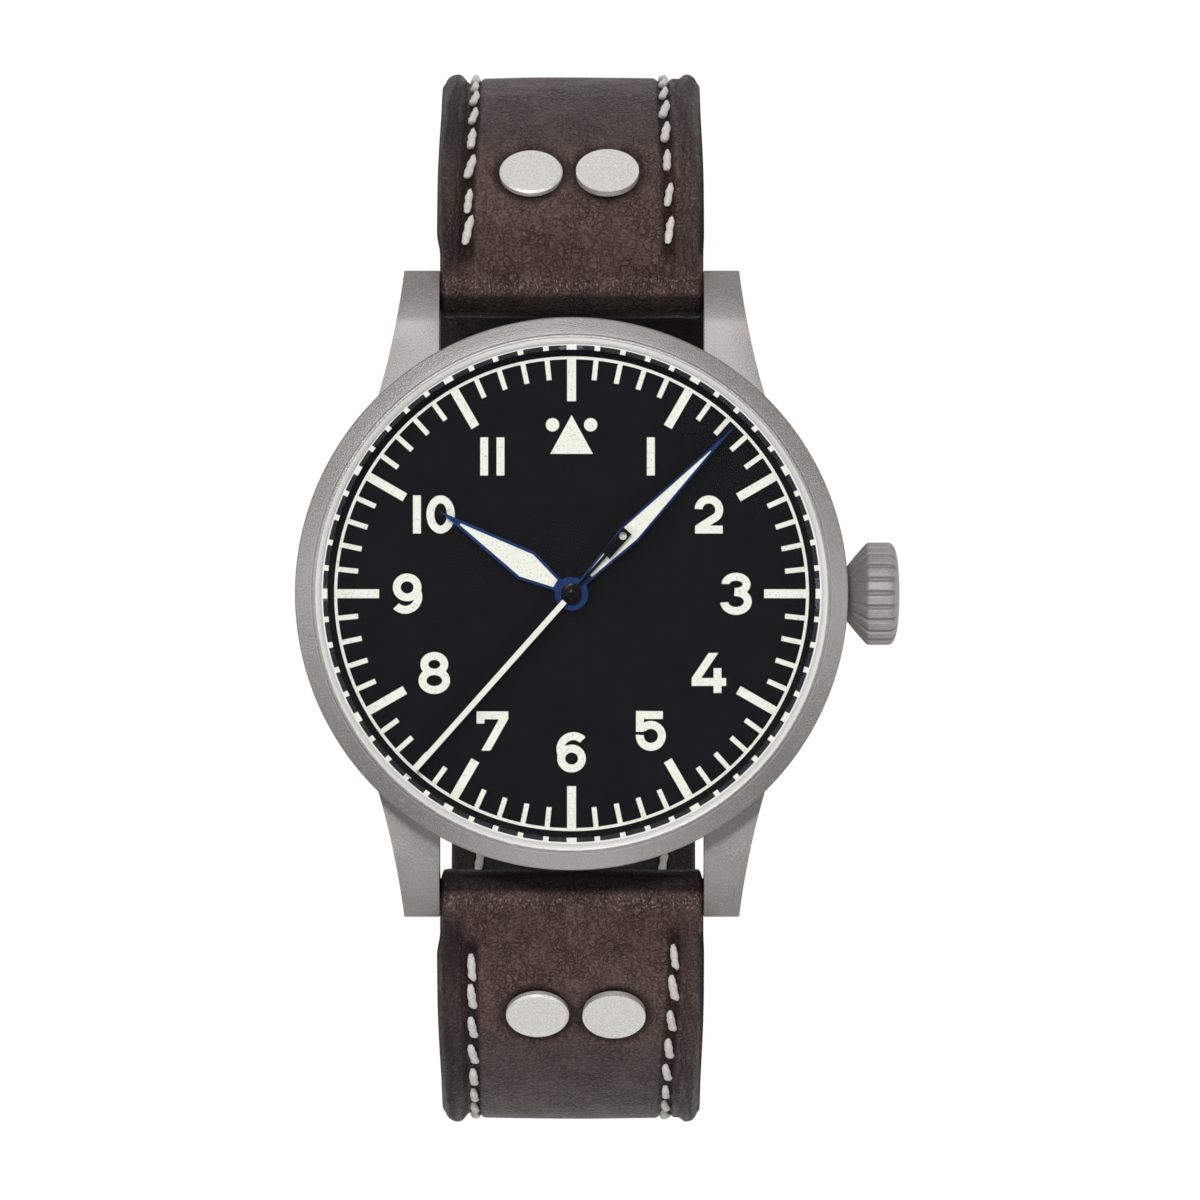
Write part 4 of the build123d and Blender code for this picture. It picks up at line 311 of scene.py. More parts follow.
brushed = {
    "backSteel": ((172, 169, 165), 0.34, 0.06, 8.0, 0.004, 0.0),
    "nickelPlate": ((205, 201, 192), 0.26, 0.12, 14.0, 0.006, 0.6),
    "giltBrass": ((214, 176, 104), 0.28, 0.04, 2.0, 0.004, 0.0),
    "springSteel": ((150, 152, 158), 0.24, 0.03, 1.0, 0.004, 0.0),
    "barSteel": ((176, 174, 170), 0.3, 0.03, 4.0, 0.004, 0.0),
    "screwBlue": ((32, 60, 130), 0.22, 0.03, 1.0, 0.004, 0.0),
}


def makeBrushed(name):
    base, roughness, across, along, depth, turn = brushed[name]
    base = colour(*base)
    material, tree, shader = startMaterial(name, base, roughness, 1.0)
    lines = useGroup(tree, brushGroup, Across=across, Along=along, Turn=turn)["Height"]
    drive(tree, shader, lines, roughs=(0.3, 0.7, roughness - 0.06, roughness + 0.08))
    tone = mixColours(tree, remap(tree, lines, 0.25, 0.75), shaded(base, 0.82), base)
    feed(shader, "Base Color", tone)
    addBump(tree, shader, lines, depth)
    return material


def makeBluedSteel():
    constants = {"Specular IOR Level": 0.25}
    material, tree, shader = startMaterial("bluedSteel", colour(18, 58, 112), 0.36, 0.6, constants)
    lines = useGroup(tree, brushGroup, Across=0.04, Along=1.5)["Height"]
    drive(tree, shader, lines, tones=(0.3, 0.7, (2, 25, 62), (4, 37, 82)))
    return material


# Blasted steel, and the bezel's with a finer turned band round the glass, which is painted pale and nearly
# non-metallic: its finer finish with a painted reflection

steel = {
    "tone": colour(155, 150, 147), "shade": colour(144, 139, 137), "polish": colour(212, 209, 207),
    "ring": colour(214, 212, 208), "grain": 0.11, "pits": 0.6, "flute": 0.36, "fluteShade": 0.35, "bump": 0.02,
}
bezelBand = {"edge": (19.4, 19.46), "line": 19.74, "lineWidth": (0.02, 0.06), "lineShare": 0.35}


def makeBlastedSteel(name="blastedSteel", share=0.85, roughness=0.55, metallic=0.85):
    material, tree, shader = startMaterial(name, steel["tone"], roughness, metallic)
    grain = useGroup(tree, grainGroup, Size=steel["grain"], Pits=steel["pits"])
    light, dark, bright = (shaded(steel[label], share) for label in ("tone", "shade", "polish"))
    tone = mixColours(tree, remap(tree, grain["Cloud"], 0.35, 0.65), light, dark)
    tone = mixColours(tree, remap(tree, grain["Height"], 0.25, 0.7, 0.0, 0.4), tone, bright)
    # The crown's flutes are darkened: painted shade in the grooves
    flute = calc(tree, "MULTIPLY", meshMark(tree, "flute"), steel["flute"])
    tone = mixColours(tree, flute, tone, shaded(dark, steel["fluteShade"]))
    feed(shader, "Base Color", tone)
    drive(tree, shader, grain["Height"], roughs=(0.2, 0.8, roughness - 0.08, roughness + 0.1))
    addBump(tree, shader, grain["Height"], steel["bump"])
    return material, tree, shader


def makeBezelSteel():
    # The bezel's copy of the blasted steel is darker than the case's: painted shade
    material, tree, shader = makeBlastedSteel("bezelSteel", 0.8, 0.43)
    reach = axisDistance(tree, objectSpace(tree))
    inside = remap(tree, reach, *(v * mm for v in bezelBand["edge"]), 1.0, 0.0)
    offLine = calc(tree, "ABSOLUTE", calc(tree, "SUBTRACT", reach, bezelBand["line"] * mm))
    near = remap(tree, offLine, *(v * mm for v in bezelBand["lineWidth"]), 1.0, 0.0)
    line = calc(tree, "MULTIPLY", near, bezelBand["lineShare"])
    oldTone = shader.inputs["Base Color"].links[0].from_socket
    oldRough = shader.inputs["Roughness"].links[0].from_socket
    marked = mixColours(tree, line, oldTone, steel["polish"])
    # The band round the glass turns pale, smoother and nearly non-metallic: partly its finer finish, partly a painted
    # reflection
    feed(shader, "Base Color", mixColours(tree, inside, marked, steel["ring"]))
    smooth = calc(tree, "MULTIPLY", oldRough, remap(tree, inside, 0.0, 1.0, 1.0, 0.9))
    feed(shader, "Roughness", smooth)
    feed(shader, "Metallic", remap(tree, inside, 0.0, 1.0, 0.85, 0.2))
    return material


# Glass, seconds hand, thread and leather


def makeGlass():
    constants = {"Transmission Weight": 1.0, "IOR": 1.77, "Specular Tint": (0.08, 0.09, 0.11, 1.0)}
    material, tree, shader = startMaterial("sapphire", (1.0, 1.0, 1.0, 1.0), 0.0, 0.0, constants)
    path = addNode(tree, "ShaderNodeLightPath").outputs
    clear = addNode(tree, "ShaderNodeBsdfTransparent", {"Color": (0.96, 0.97, 0.97, 1.0)})
    passing = calc(tree, "MAXIMUM", path["Is Shadow Ray"], path["Is Diffuse Ray"])
    blendShaders(tree, passing, shader, clear)
    return material


secondsPaint = {"darkReach": 0.8, "fade": 0.02, "dome": 0.8, "swell": 0.18}


def makeSecondsPaint(direction):
    # Cream along the needle, black on the domed hub and the tail
    constants = {"Specular IOR Level": 0.07}
    material, tree, shader = startMaterial("secondsPaint", colour(236, 233, 222), 0.5, 0.0, constants)
    place = objectSpace(tree)
    along = vectorCalc(tree, "DOT_PRODUCT", {0: place, 1: (*direction, 0.0)}, "Value")
    dark, fade = secondsPaint["darkReach"], secondsPaint["fade"]
    needle = remap(tree, along, (dark - fade) * mm, (dark + fade) * mm)
    grain = useGroup(tree, grainGroup, Size=0.1, Pits=0.3)
    cream = mixColours(tree, grain["Height"], colour(236, 234, 223), colour(222, 220, 209))
    feed(shader, "Base Color", mixColours(tree, needle, colour(9, 7, 8), cream))
    feed(shader, "Roughness", remap(tree, needle, 0.0, 1.0, 0.24, 0.6))
    reach = calc(tree, "DIVIDE", axisDistance(tree, place), secondsPaint["dome"] * mm)
    share = calc(tree, "MINIMUM", reach, 1.0)
    swell = calc(tree, "SUBTRACT", 1.0, calc(tree, "MULTIPLY", share, share))
    addBump(tree, shader, calc(tree, "MULTIPLY", swell, swell), secondsPaint["swell"])
    return material


def makeThread():
    constants = {"Sheen Weight": 0.3}
    material, tree, shader = startMaterial("linenThread", colour(208, 204, 198), 0.85, 0.0, constants)
    fibres = noiseFrom(tree, objectSpace(tree), 9000.0, 3.0)
    drive(tree, shader, fibres, tones=(0.3, 0.7, (176, 171, 164), (222, 219, 213)))
    addBump(tree, shader, fibres, 0.03)
    return material


leathers = {
    "brownLeather": {
        "dark": (71, 57, 53), "light": (76, 61, 57), "edge": (20, 17, 18),
        "rough": 0.52, "pebble": 0.52, "crease": 1.0, "bump": 0.24,
    },
    "keeperLeather": {
        "dark": (62, 47, 43), "light": (76, 58, 53), "edge": (27, 21, 21),
        "rough": 0.55, "pebble": 0.4, "crease": 1.0, "bump": 0.12,
    },
    "liningLeather": {
        "dark": (34, 31, 32), "light": (46, 42, 42), "edge": (28, 25, 26),
        "rough": 0.6, "pebble": 0.35, "crease": 0.6, "bump": 0.06,
    },
}
# Lift of the bump tops, partly rubbed wear and partly painted highlight, the darkening of crevices and pressed places,
# and the colour of the painted glints
hideMix = {"glintAndWear": 2.2, "black": 0.28, "speckle": 0.8, "deep": 0.62, "pressedAndShaded": 0.94, "glint": (178, 168, 163)}


def makeLeather(name):
    # Attributes on the mesh mark the cut edge, the pressed channels together with the painted shade, the ridge band of
    # painted glints and the creased strips
    look = leathers[name]
    dark, light, edge = (colour(*look[label]) for label in ("dark", "light", "edge"))
    rough = look["rough"]
    material, tree, shader = startMaterial(name, light, rough, 0.0, {"Specular IOR Level": 0.13})
    marks = {label: meshMark(tree, label) for label in ("cut", "pressedAndShaded", "ridge", "strip")}
    grain = useGroup(tree, leatherGroup, Pebble=look["pebble"], Crease=look["crease"], Long=marks["strip"])
    black = shaded(dark, hideMix["black"])
    tone = mixColours(tree, remap(tree, grain["Tone"], 0.32, 0.68), dark, light)
    for factor, share, over in (
        # bump tops lifted towards a lighter colour: partly rubbed wear, partly painted highlight
        (grain["Speckle"], hideMix["speckle"], shaded(light, hideMix["glintAndWear"])),
        # crevices and creases darkened: painted shade
        (grain["Deep"], hideMix["deep"], black),
        # painted glints on the ridge band next to the case
        (grain["Glint"], marks["ridge"], colour(*hideMix["glint"])),
        # the pressed channels and the painted shade marked on the mesh, darkened
        (marks["pressedAndShaded"], hideMix["pressedAndShaded"], black),
    ):
        tone = mixColours(tree, calc(tree, "MULTIPLY", factor, share), tone, over)
    feed(shader, "Base Color", mixColours(tree, marks["cut"], tone, edge))
    drive(tree, shader, grain["Height"], roughs=(-0.5, 0.3, rough + 0.16, rough - 0.1))
    addBump(tree, shader, grain["Height"], look["bump"])
    return material


blastedSteel = makeBlastedSteel()[0]
bezelSteel = makeBezelSteel()
crownSteel = makeBlastedSteel("crownSteel", 0.92, 0.58, 0.5)[0]
satinSilver, dialBlack, lume, gasketRubber, seatNylon, ruby = (makeGrained(name) for name in grained)
backSteel, nickelPlate, giltBrass, springSteel, barSteel, screwBlue = (makeBrushed(name) for name in brushed)
brownLeather, keeperLeather, liningLeather = (makeLeather(name) for name in leathers)
sapphire = makeGlass()
bluedSteel = makeBluedSteel()
thread = makeThread()
print("materials made")


# Every carried-over node gets its finish

finishes = (
    (blastedSteel, "mid_case crown_tube buckle buckle_tongue"), (bezelSteel, "bezel"), (crownSteel, "crown"),
    (backSteel, "case_back"), (sapphire, "crystal"), (seatNylon, "crystal_gasket"), (dialBlack, "dial"),
    (lume, "dial_markers minute_hand_lume hour_hand_lume"), (bluedSteel, "minute_hand hour_hand"),
    (satinSilver, "upper_rivets lower_rivets"), (gasketRubber, "case_back_gasket crown_gasket"),
    (barSteel, "movement_ring case_clamps spring_bars buckle_pin"), (ruby, "jewels"),
    (screwBlue, "movement_screws hairspring"),
    (nickelPlate, "main_plate barrel_bridge train_bridge balance_cock pallet_cock"),
    (giltBrass, "centre_wheel hour_wheel minute_wheel third_wheel fourth_wheel barrel_drum balance_wheel"),
    (springSteel, "click click_spring setting_lever setting_jumper yoke cannon_pinion escape_wheel pallet_fork"),
    (springSteel, "mainspring barrel_arbor ratchet_wheel crown_wheel winding_pinion sliding_pinion winding_stem"),
)
nodeFinish = {node: material for material, nodes in finishes for node in nodes.split()}


def secondsDirection():
    # From the centre to the needle's tip, the hand's farthest point
    points = [v.co for v in frame["nodes"]["seconds_hand"].data.vertices]
    tip = max(points, key=lambda p: hypot(p.x, p.y))
    reach = hypot(tip.x, tip.y)
    return (tip.x / reach, tip.y / reach)


def finishNodes():
    nodeFinish["seconds_hand"] = makeSecondsPaint(secondsDirection())
    for name, material in nodeFinish.items():
        node = frame["nodes"][name]
        if not node.material_slots:
            node.data.materials.append(material)
        for slot in node.material_slots:
            slot.material = material
    print("nodes finished:", len(nodeFinish))


# Meshes


def bodyOf(node):
    return next(name for name, members in frame["record"]["behaviour"]["bodies"].items() if node in members)


def addObject(name, data):
    made = bpy.data.objects.new(name, data)
    scene.collection.objects.link(made)
    return made


def addPiece(name, mesh, material, node, replaces=True):
    # The piece rides with the CAD node's body, and takes the node's place where it replaces it
    piece = addObject(name, mesh)
    mesh.materials.clear()
    mesh.materials.append(material)
    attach(piece, bodyOf(node))
    if replaces:
        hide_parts(node)


def applyModifier(mesh, kind, settings, values=None):
    # The mesh as one modifier leaves it; values go to the sockets of its tree by name
    holder = addObject("holder", mesh)
    modifier = holder.modifiers.new("once", kind)
    for label, value in settings.items():
        setattr(modifier, label, value)
    if values:
        for item in modifier.node_group.interface.items_tree:
            if item.item_type == "SOCKET" and item.in_out == "INPUT" and item.name in values:
                modifier[item.identifier] = values[item.name]
    bpy.context.view_layer.update()
    result = bpy.data.meshes.new_from_object(holder.evaluated_get(bpy.context.evaluated_depsgraph_get()))
    bpy.data.objects.remove(holder)
    return result


def meshFrom(work, name):
    mesh = bpy.data.meshes.new(name)
    work.to_mesh(mesh)
    work.free()
    loose = mesh.attributes.get("custom_normal")
    if loose:
        mesh.attributes.remove(loose)
    return mesh


def setSmooth(mesh, smooth=True):
    mesh.polygons.foreach_set("use_smooth", [smooth] * len(mesh.polygons))


smoothing = {
    "merge": 0.0002, "flat": 1.0, "angle": 30, "segments": 3,
    "bevels": {
        "mid_case": 0.1, "buckle": 0.18, "buckle_tongue": 0.15, "upper_rivets": 0, "lower_rivets": 0, "case_back": 0,
        "crown_tube": 0, "buckle_pin": 0, "crystal": 0, "crystal_gasket": 0, "spring_bars": 0,
    },
}


def smoothNode(node, bevel):
    # A merged, smooth copy of a node, with its edges eased where a bevel is given
    angle, merge = radians(smoothing["angle"]), smoothing["merge"] * mm
    work = bmesh.new()
    work.from_mesh(frame["nodes"][node].data)
    bmesh.ops.remove_doubles(work, verts=work.verts, dist=merge)
    bmesh.ops.dissolve_degenerate(work, edges=work.edges, dist=merge)
    if bevel:
        flat = radians(smoothing["flat"])
        bmesh.ops.dissolve_limit(work, verts=work.verts, edges=work.edges, angle_limit=flat)
    mesh = meshFrom(work, node + "_smooth")
    if bevel:
        mesh = applyModifier(mesh, "BEVEL", {
            "width": bevel * mm, "segments": smoothing["segments"], "limit_method": "ANGLE",
            "angle_limit": angle, "harden_normals": False,
        })
        mesh.name = node + "_smooth"
    setSmooth(mesh)
    mesh.set_sharp_from_angle(angle=angle)
    addPiece(node + "_finished", mesh, nodeFinish[node], node)


def ringMesh(name, rings, closed=False, attributes=None):
    # Skins a row of closed rings with the same count of points, and closes the ends
    mesh = bpy.data.meshes.new(name)
    rows, count = len(rings), len(rings[0])
    faces = []
    for row in range(rows if closed else rows - 1):
        here, there = row * count, (row + 1) % rows * count
        for i in range(count):
            j = (i + 1) % count
            faces.append((here + i, here + j, there + j, there + i))
    if not closed:
        faces.append(tuple(reversed(range(count))))
        faces.append(tuple(range((rows - 1) * count, rows * count)))
    mesh.from_pydata([tuple(v * mm for v in p) for ring in rings for p in ring], [], faces)
    mesh.update()
    work = bmesh.new()
    work.from_mesh(mesh)
    bmesh.ops.recalc_face_normals(work, faces=work.faces)
    work.to_mesh(mesh)
    work.free()
    for label, values in (attributes or {}).items():
        mesh.attributes.new(label, "FLOAT", "POINT").data.foreach_set("value", values)
    setSmooth(mesh)
    return mesh


def addPrism(work, points, low, high):
    # A solid over a flat outline, in millimetres
    count = len(points)
    corners = [(x, y, z) for z in (low, high) for x, y in points]
    faces = [tuple(range(count)), tuple(range(count, 2 * count))]
    faces += [(i, (i + 1) % count, count + (i + 1) % count, count + i) for i in range(count)]
    verts = [work.verts.new([v * mm for v in p]) for p in corners]
    bmesh.ops.recalc_face_normals(work, faces=[work.faces.new([verts[i] for i in face]) for face in faces])


def circle(x, y, radius, count):
    turns = [tau * k / count for k in range(count)]
    return [(x + radius * cos(turn), y + radius * sin(turn)) for turn in turns]


def cutWith(mesh, outlines, low, high):
    # Takes prisms out of a mesh and returns the result
    work = bmesh.new()
    for points in outlines:
        addPrism(work, points, low, high)
    cutter = addObject("cutter", meshFrom(work, "cutter"))
    result = applyModifier(mesh, "BOOLEAN", {"operation": "DIFFERENCE", "solver": "EXACT", "object": cutter})
    bpy.data.objects.remove(cutter)
    return result


def ease(value, low, high):
    t = min(1.0, max(0.0, (value - low) / (high - low)))
    return t * t * (3 - 2 * t)


def hump(value, rise, fall):
    return ease(value, *rise) * (1 - ease(value, *fall))


def steps(low, high, spacing):
    count = max(2, round((high - low) / spacing))
    return [low + (high - low) * i / count for i in range(count + 1)]


# Strap: the outer face is followed by its length from the roll's top, in millimetres. The side is 1 for the
# upper half and -1 for the lower one, the hand is 1 for the right edge and -1 for the left one

sides = {1: "upper", -1: "lower"}
strap = {
    "halfWidth": 9.9, "leather": 1.5, "lining": 1.1, "ridge": 23.3, "barY": 23.0, "barZ": 2.4,
    "roll": 2.2, "rollTurn": 214, "bore": 1.12, "wallGrows": 1.5, "run": {1: 15.0, -1: 45.0},
    "radii": {1: (12.7, 27.6, 15.0), -1: (12.7, 27.6, 27.3)},
    "starts": (pi / 2, pi / 4, 0.0), "sweeps": (pi / 4, pi / 4, pi / 2),
    "pinSetback": 1.2, "pinLoop": 1.85, "pinBore": 0.72, "pinTurn": 250, "pinRows": 24, "pinEase": 3.4,
    "tailCorner": 7.9, "lugFit": (0.17, 9.0, 22.0), "liningStart": 9, "liningEnd": 1.5,
    # how far the left and the right edge stand out, on the face and below it
    "spread": (0.25, 0.06), "faceSpread": (3.0, 5.0), "edgeSpread": (4.6, 7.0), "spreadEnd": (26.0, 34.0),
    "spreadPlace": (8.2, 9.8), "rounding": 0.14, "slack": 0.02,
    # how far the dark cut-edge colour reaches in on the right of the shown face, where it is also painted shade on the
    # rounded rim, and elsewhere
    "paint": (0.42, 0.04),
    # spacing and count of the mesh's rows and columns
    "rollRows": 0.42, "shownRows": 0.32, "shownEnd": 15.0, "bendRows": 0.6, "runRows": 0.75, "endRows": 16,
    "rimColumns": (0.0, 0.06, 0.14, 0.24, 0.36), "rimEnd": 0.48, "seamGap": 1.1, "sideCount": 20, "innerCount": 52,
}
sheet = strap["leather"] + strap["lining"]
relief = {
    "bead": (0.22, 0.36), "beadGrows": (12.0, 26.0), "beadFades": (40.0, 55.0), "beadPlace": ((0.0, 0.85), (1.05, 1.6)),
    "turned": (18.0, 28.0), "rim": (1.0, 4.0), "rimReach": 0.4, "rimWidth": {1: 0.45, -1: 0.2}, "rimDrop": (0.75, 0.3),
    "crown": 0.16, "belly": {1: 0.13, -1: 0.78}, "bellyPlace": ((10.0, 30.0), (36.0, 58.0)),
    "groove": 0.36, "strip": 0.56, "stripPlace": ((0.3, 0.7), (0.5, 3.0)), "waver": 0.035,
    "lugShade": (0.26, 3.0, 7.5), "endShade": (0.4, 10.0, 16.5), "rollShade": (-0.55, -0.05), "tuck": (0.35, 1.5, 3.0),
    "ridgePlace": ((-0.3, 0.2), (0.8, 1.5)), "liningGroove": (0.16, 0.15, 0.6), "liningRim": (0.3, 0.35),
    "liningFit": 0.04,
}
seams = {
    # x of the seam at its start and at the strap's turn, where its first stitch begins, and its first pitch
    (1, -1): (-7.98, -7.62, 3.65, 2.5), (1, 1): (7.46, 7.08, 3.65, 3.1),
    (-1, -1): (-7.66, -7.62, 4.75, 2.75), (-1, 1): (7.86, 7.26, 3.85, 2.8),
    "turn": 22.0, "fade": (-2.0, -0.2), "end": {1: 3.6, -1: 6.2},
    # length of the first stitch's line, and spacing of a line's points
    "dot": 0.4, "spacing": 0.5,
    # the sewn channel inside and outside the stitches
    "inner": (0.16, 0.75), "outer": {1: (0.26, 0.74), -1: (0.42, 0.92)},
}
rivets = {
    "along": strap["ridge"] - strap["barY"] + strap["radii"][1][0] * pi / 4, "spacing": 5.87,
    "shift": {1: -0.2, -1: 0.3}, "radius": 2.42, "dimple": 0.36, "pucker": 0.05, "puckers": 17,
    # places measured from the rivet's rim, and the painted shade in the dimple and at the puckers
    "dip": (-0.1, 0.95), "swell": 0.05, "swellPlace": ((0.2, 1.1), (1.1, 2.6)), "shade": (0.95, 0.12),
}


def bendLengths(side):
    bends = [radius * sweep for radius, sweep in zip(strap["radii"][side], strap["sweeps"])]
    return [strap["ridge"] - strap["barY"], *bends, strap["run"][side]]


def strapPoint(side, along):
    # (y, z, normal y, normal z) on the outer face
    roll, barY, barZ = strap["roll"], strap["barY"], strap["barZ"]
    flat, *bends = bendLengths(side)[:4]
    if along < 0:
        turn = pi / 2 - along / roll
        return side * (barY + roll * cos(turn)), barZ + roll * sin(turn), side * cos(turn), sin(turn)
    if along < flat:
        return side * (barY + along), barZ + roll, 0.0, 1.0
    along -= flat
    y, z, before = strap["ridge"], barZ + roll, 0.0
    for radius, turn, length in zip(strap["radii"][side], strap["starts"], bends):
        y, z = y + (before - radius) * cos(turn), z + (before - radius) * sin(turn)
        if along < length:
            turn -= along / radius
            return side * (y + radius * cos(turn)), z + radius * sin(turn), side * cos(turn), sin(turn)
        along, before = along - length, radius
    return side * (y - along), z - before, 0.0, -1.0


def pinPlace():
    y, z = strapPoint(1, sum(bendLengths(1)))[:2]
    return y + strap["pinSetback"], z + sheet / 2


def seamPlace(side, hand, along):
    first, turn, start = seams[(side, hand)][:3]
    return first + (turn - first) * ease(along, start, seams["turn"])


def channelDepth(hand, inward):
    # The sewn channel lies outside the stitches, and is widest on the left
    return 1 - (ease(inward, *seams["inner"]) if inward > 0 else ease(-inward, *seams["outer"][hand]))


def rivetRelief(side, x, along):
    # A dimple with puckers round each rivet, and the painted shade in the dimple and at the puckers
    height, pressedAndShaded = 0.0, 0.0
    dipShade, puckerShade = rivets["shade"]
    for place in (-0.5, 0.5):
        away, up = x - rivets["shift"][side] - place * rivets["spacing"], along - rivets["along"]
        distance = hypot(away, up) - rivets["radius"]
        dip = 1 - ease(distance, *rivets["dip"])
        swell = hump(distance, *rivets["swellPlace"])
        turn = atan2(up, away)
        pucker = cos(rivets["puckers"] * turn + 2.0 * sin(3.0 * turn)) * 4 * dip * (1 - dip)
        height += rivets["swell"] * swell - rivets["dimple"] * dip + rivets["pucker"] * pucker
        pressedAndShaded += dipShade * dip + puckerShade * pucker
    return height, pressedAndShaded


def strapHeight(side, x, along, halfWidth, depthShare=1.0):
    # How far the padded, sewn leather stands off its nominal face, how dark it is painted, partly for the pressed
    # channel and partly as painted shade, and how creased it is
    hand = 1 if x > 0 else -1
    start = seams[(side, hand)][2]
    sewn = ease(along - start, *seams["fade"]) * depthShare
    edge = halfWidth - abs(x)
    bead, turnBead = relief["bead"]
    grown = ease(along, *relief["beadGrows"]) * (1 - 0.8 * ease(along, *relief["beadFades"]))
    bead += (turnBead - bead) * grown
    height = bead * (0.35 + 0.65 * sewn) * hump(edge, *relief["beadPlace"])
    turned = ease(along, *relief["turned"])
    rim = relief["rimReach"] + relief["rimWidth"][hand] * ease(along, *relief["rim"]) * (1 - 0.6 * turned)
    drop, turnDrop = relief["rimDrop"]
    height -= (drop - turnDrop * turned) * (1 - ease(edge, 0.0, rim)) ** 2
    height += relief["crown"] * (1 - (x / halfWidth) ** 2) * (0.4 + 0.6 * sewn)
    height += relief["belly"][side] * hump(along, *relief["bellyPlace"])
    seam = seamPlace(side, hand, along)
    channel = channelDepth(hand, (seam - x) * hand)
    height -= relief["groove"] * sewn * channel
    # The sewn channel is darker, more on the left: partly pressed leather, partly painted shade in the groove
    pressedAndShaded = sewn * channel * (1.0 if hand < 0 else 0.85)
    across, begins = relief["stripPlace"]
    strip = ease((x - seam) * hand, *across) * ease(along, *begins) * depthShare
    # The left strip outside the seam is darkened: painted shade
    if hand < 0:
        pressedAndShaded = max(pressedAndShaded, relief["strip"] * strip)
    dimple, dark = rivetRelief(side, x, along)
    height += dimple * depthShare
    pressedAndShaded += dark * depthShare
    height += relief["waver"] * noise.noise(Vector((x * 0.22, along * 0.17, side * 9.0)))
    # On the roll the leather is darkened towards the case as painted shade, and tucked in
    if along < 0.2:
        tuck, *tuckPlace = relief["tuck"]
        pressedAndShaded = 1 - ease(along, *relief["rollShade"])
        height -= tuck * ease(-along, *tuckPlace)
    # Painted shade near the lugs, and from the rivets on towards the strap's end
    lugShade, *lugPlace = relief["lugShade"]
    endShade, *endPlace = relief["endShade"]
    pressedAndShaded += lugShade * (1 - ease(along, *lugPlace)) + endShade * ease(along, *endPlace)
    return height, min(1.0, max(0.0, pressedAndShaded)), strip


def strapColumns(side, along, halfWidth):
    # x places across the face, close together at the edges and the seams
    scale = min(1.0, halfWidth / strap["halfWidth"])
    count, innerCount = strap["sideCount"], strap["innerCount"]
    shares = []
    for hand in (-1, 1):
        edge = hand * halfWidth
        rim = [edge - hand * d for d in strap["rimColumns"]]
        begin = edge - hand * strap["rimEnd"]
        stop = seamPlace(side, hand, along) * scale - hand * strap["seamGap"]
        shares.append(rim + [begin + (stop - begin) * t / count for t in range(count + 1)])
    left, right = shares
    inner = [left[-1] + (right[-1] - left[-1]) * t / innerCount for t in range(1, innerCount)]
    return left + inner + right[::-1]


def halfWidthAt(side, along, toEnd):
    # The leather is widest between and just outside the lugs, and the lower half ends in a rounded tail
    corner = strap["tailCorner"]
    if side > 0 or toEnd >= corner:
        wide, *fade = strap["lugFit"]
        return strap["halfWidth"] + wide * (1 - ease(along, *fade))
    return strap["halfWidth"] - corner + sqrt(max(0.0, corner ** 2 - (corner - toEnd) ** 2))


def strapRows(side):
    lengths = bendLengths(side)
    total, bend = sum(lengths), sum(lengths[:3])
    shownEnd, runRows, count = strap["shownEnd"], strap["runRows"], strap["endRows"]
    rows = steps(-strap["roll"] * radians(strap["rollTurn"]), 0.0, strap["rollRows"])[:-1]
    rows += steps(0.0, shownEnd, strap["shownRows"])[:-1] + steps(shownEnd, bend, strap["bendRows"])[:-1]
    if side > 0:
        return rows + steps(bend, total, runRows), total
    corner = strap["tailCorner"]
    rows += steps(bend, total - corner, runRows)[:-1]
    rows += [total - corner * (1 - sin(pi / 2 * i / count)) for i in range(count)]
    return rows + [total - strap["slack"]], total


def spreadOut(x, share):
    # Outside the lugs the edges stand out a little, the left one more
    left, right = strap["spread"]
    return x + (right if x > 0 else -left) * share * ease(abs(x), *strap["spreadPlace"])


def ringFromFace(columns, heights, thickness, frameAt, faceShare=0.0, edgeShare=0.0):
    # The face, the cut edges and the underside as one ring, with the cut edge's paint, which on the right of the shown
    # face reaches further in as painted shade
    y, z, ny, nz = frameAt
    half = columns[-1]
    points, cut = [], []
    paintedAndShaded, plain = strap["paint"]
    for x, h in zip(columns, heights):
        points.append((spreadOut(x, faceShare), y + ny * h, z + nz * h))
        band = paintedAndShaded if x > 0 and faceShare else plain
        cut.append(1 - ease(half - abs(x), band * 0.6, band * 1.5))
    right = [(half, 0.62), (half, 0.9), (half - strap["rounding"], 1.0)]
    right += [(half * t, 1.0) for t in (0.85, 0.7, 0.5, 0.25)]
    for x, share in right + [(0.0, 1.0)] + [(-x, share) for x, share in right[::-1]]:
        depth = thickness * share
        points.append((spreadOut(x, edgeShare), y - ny * depth, z - nz * depth))
        cut.append(1.0 if share < 1 else 0.0)
    return points, cut


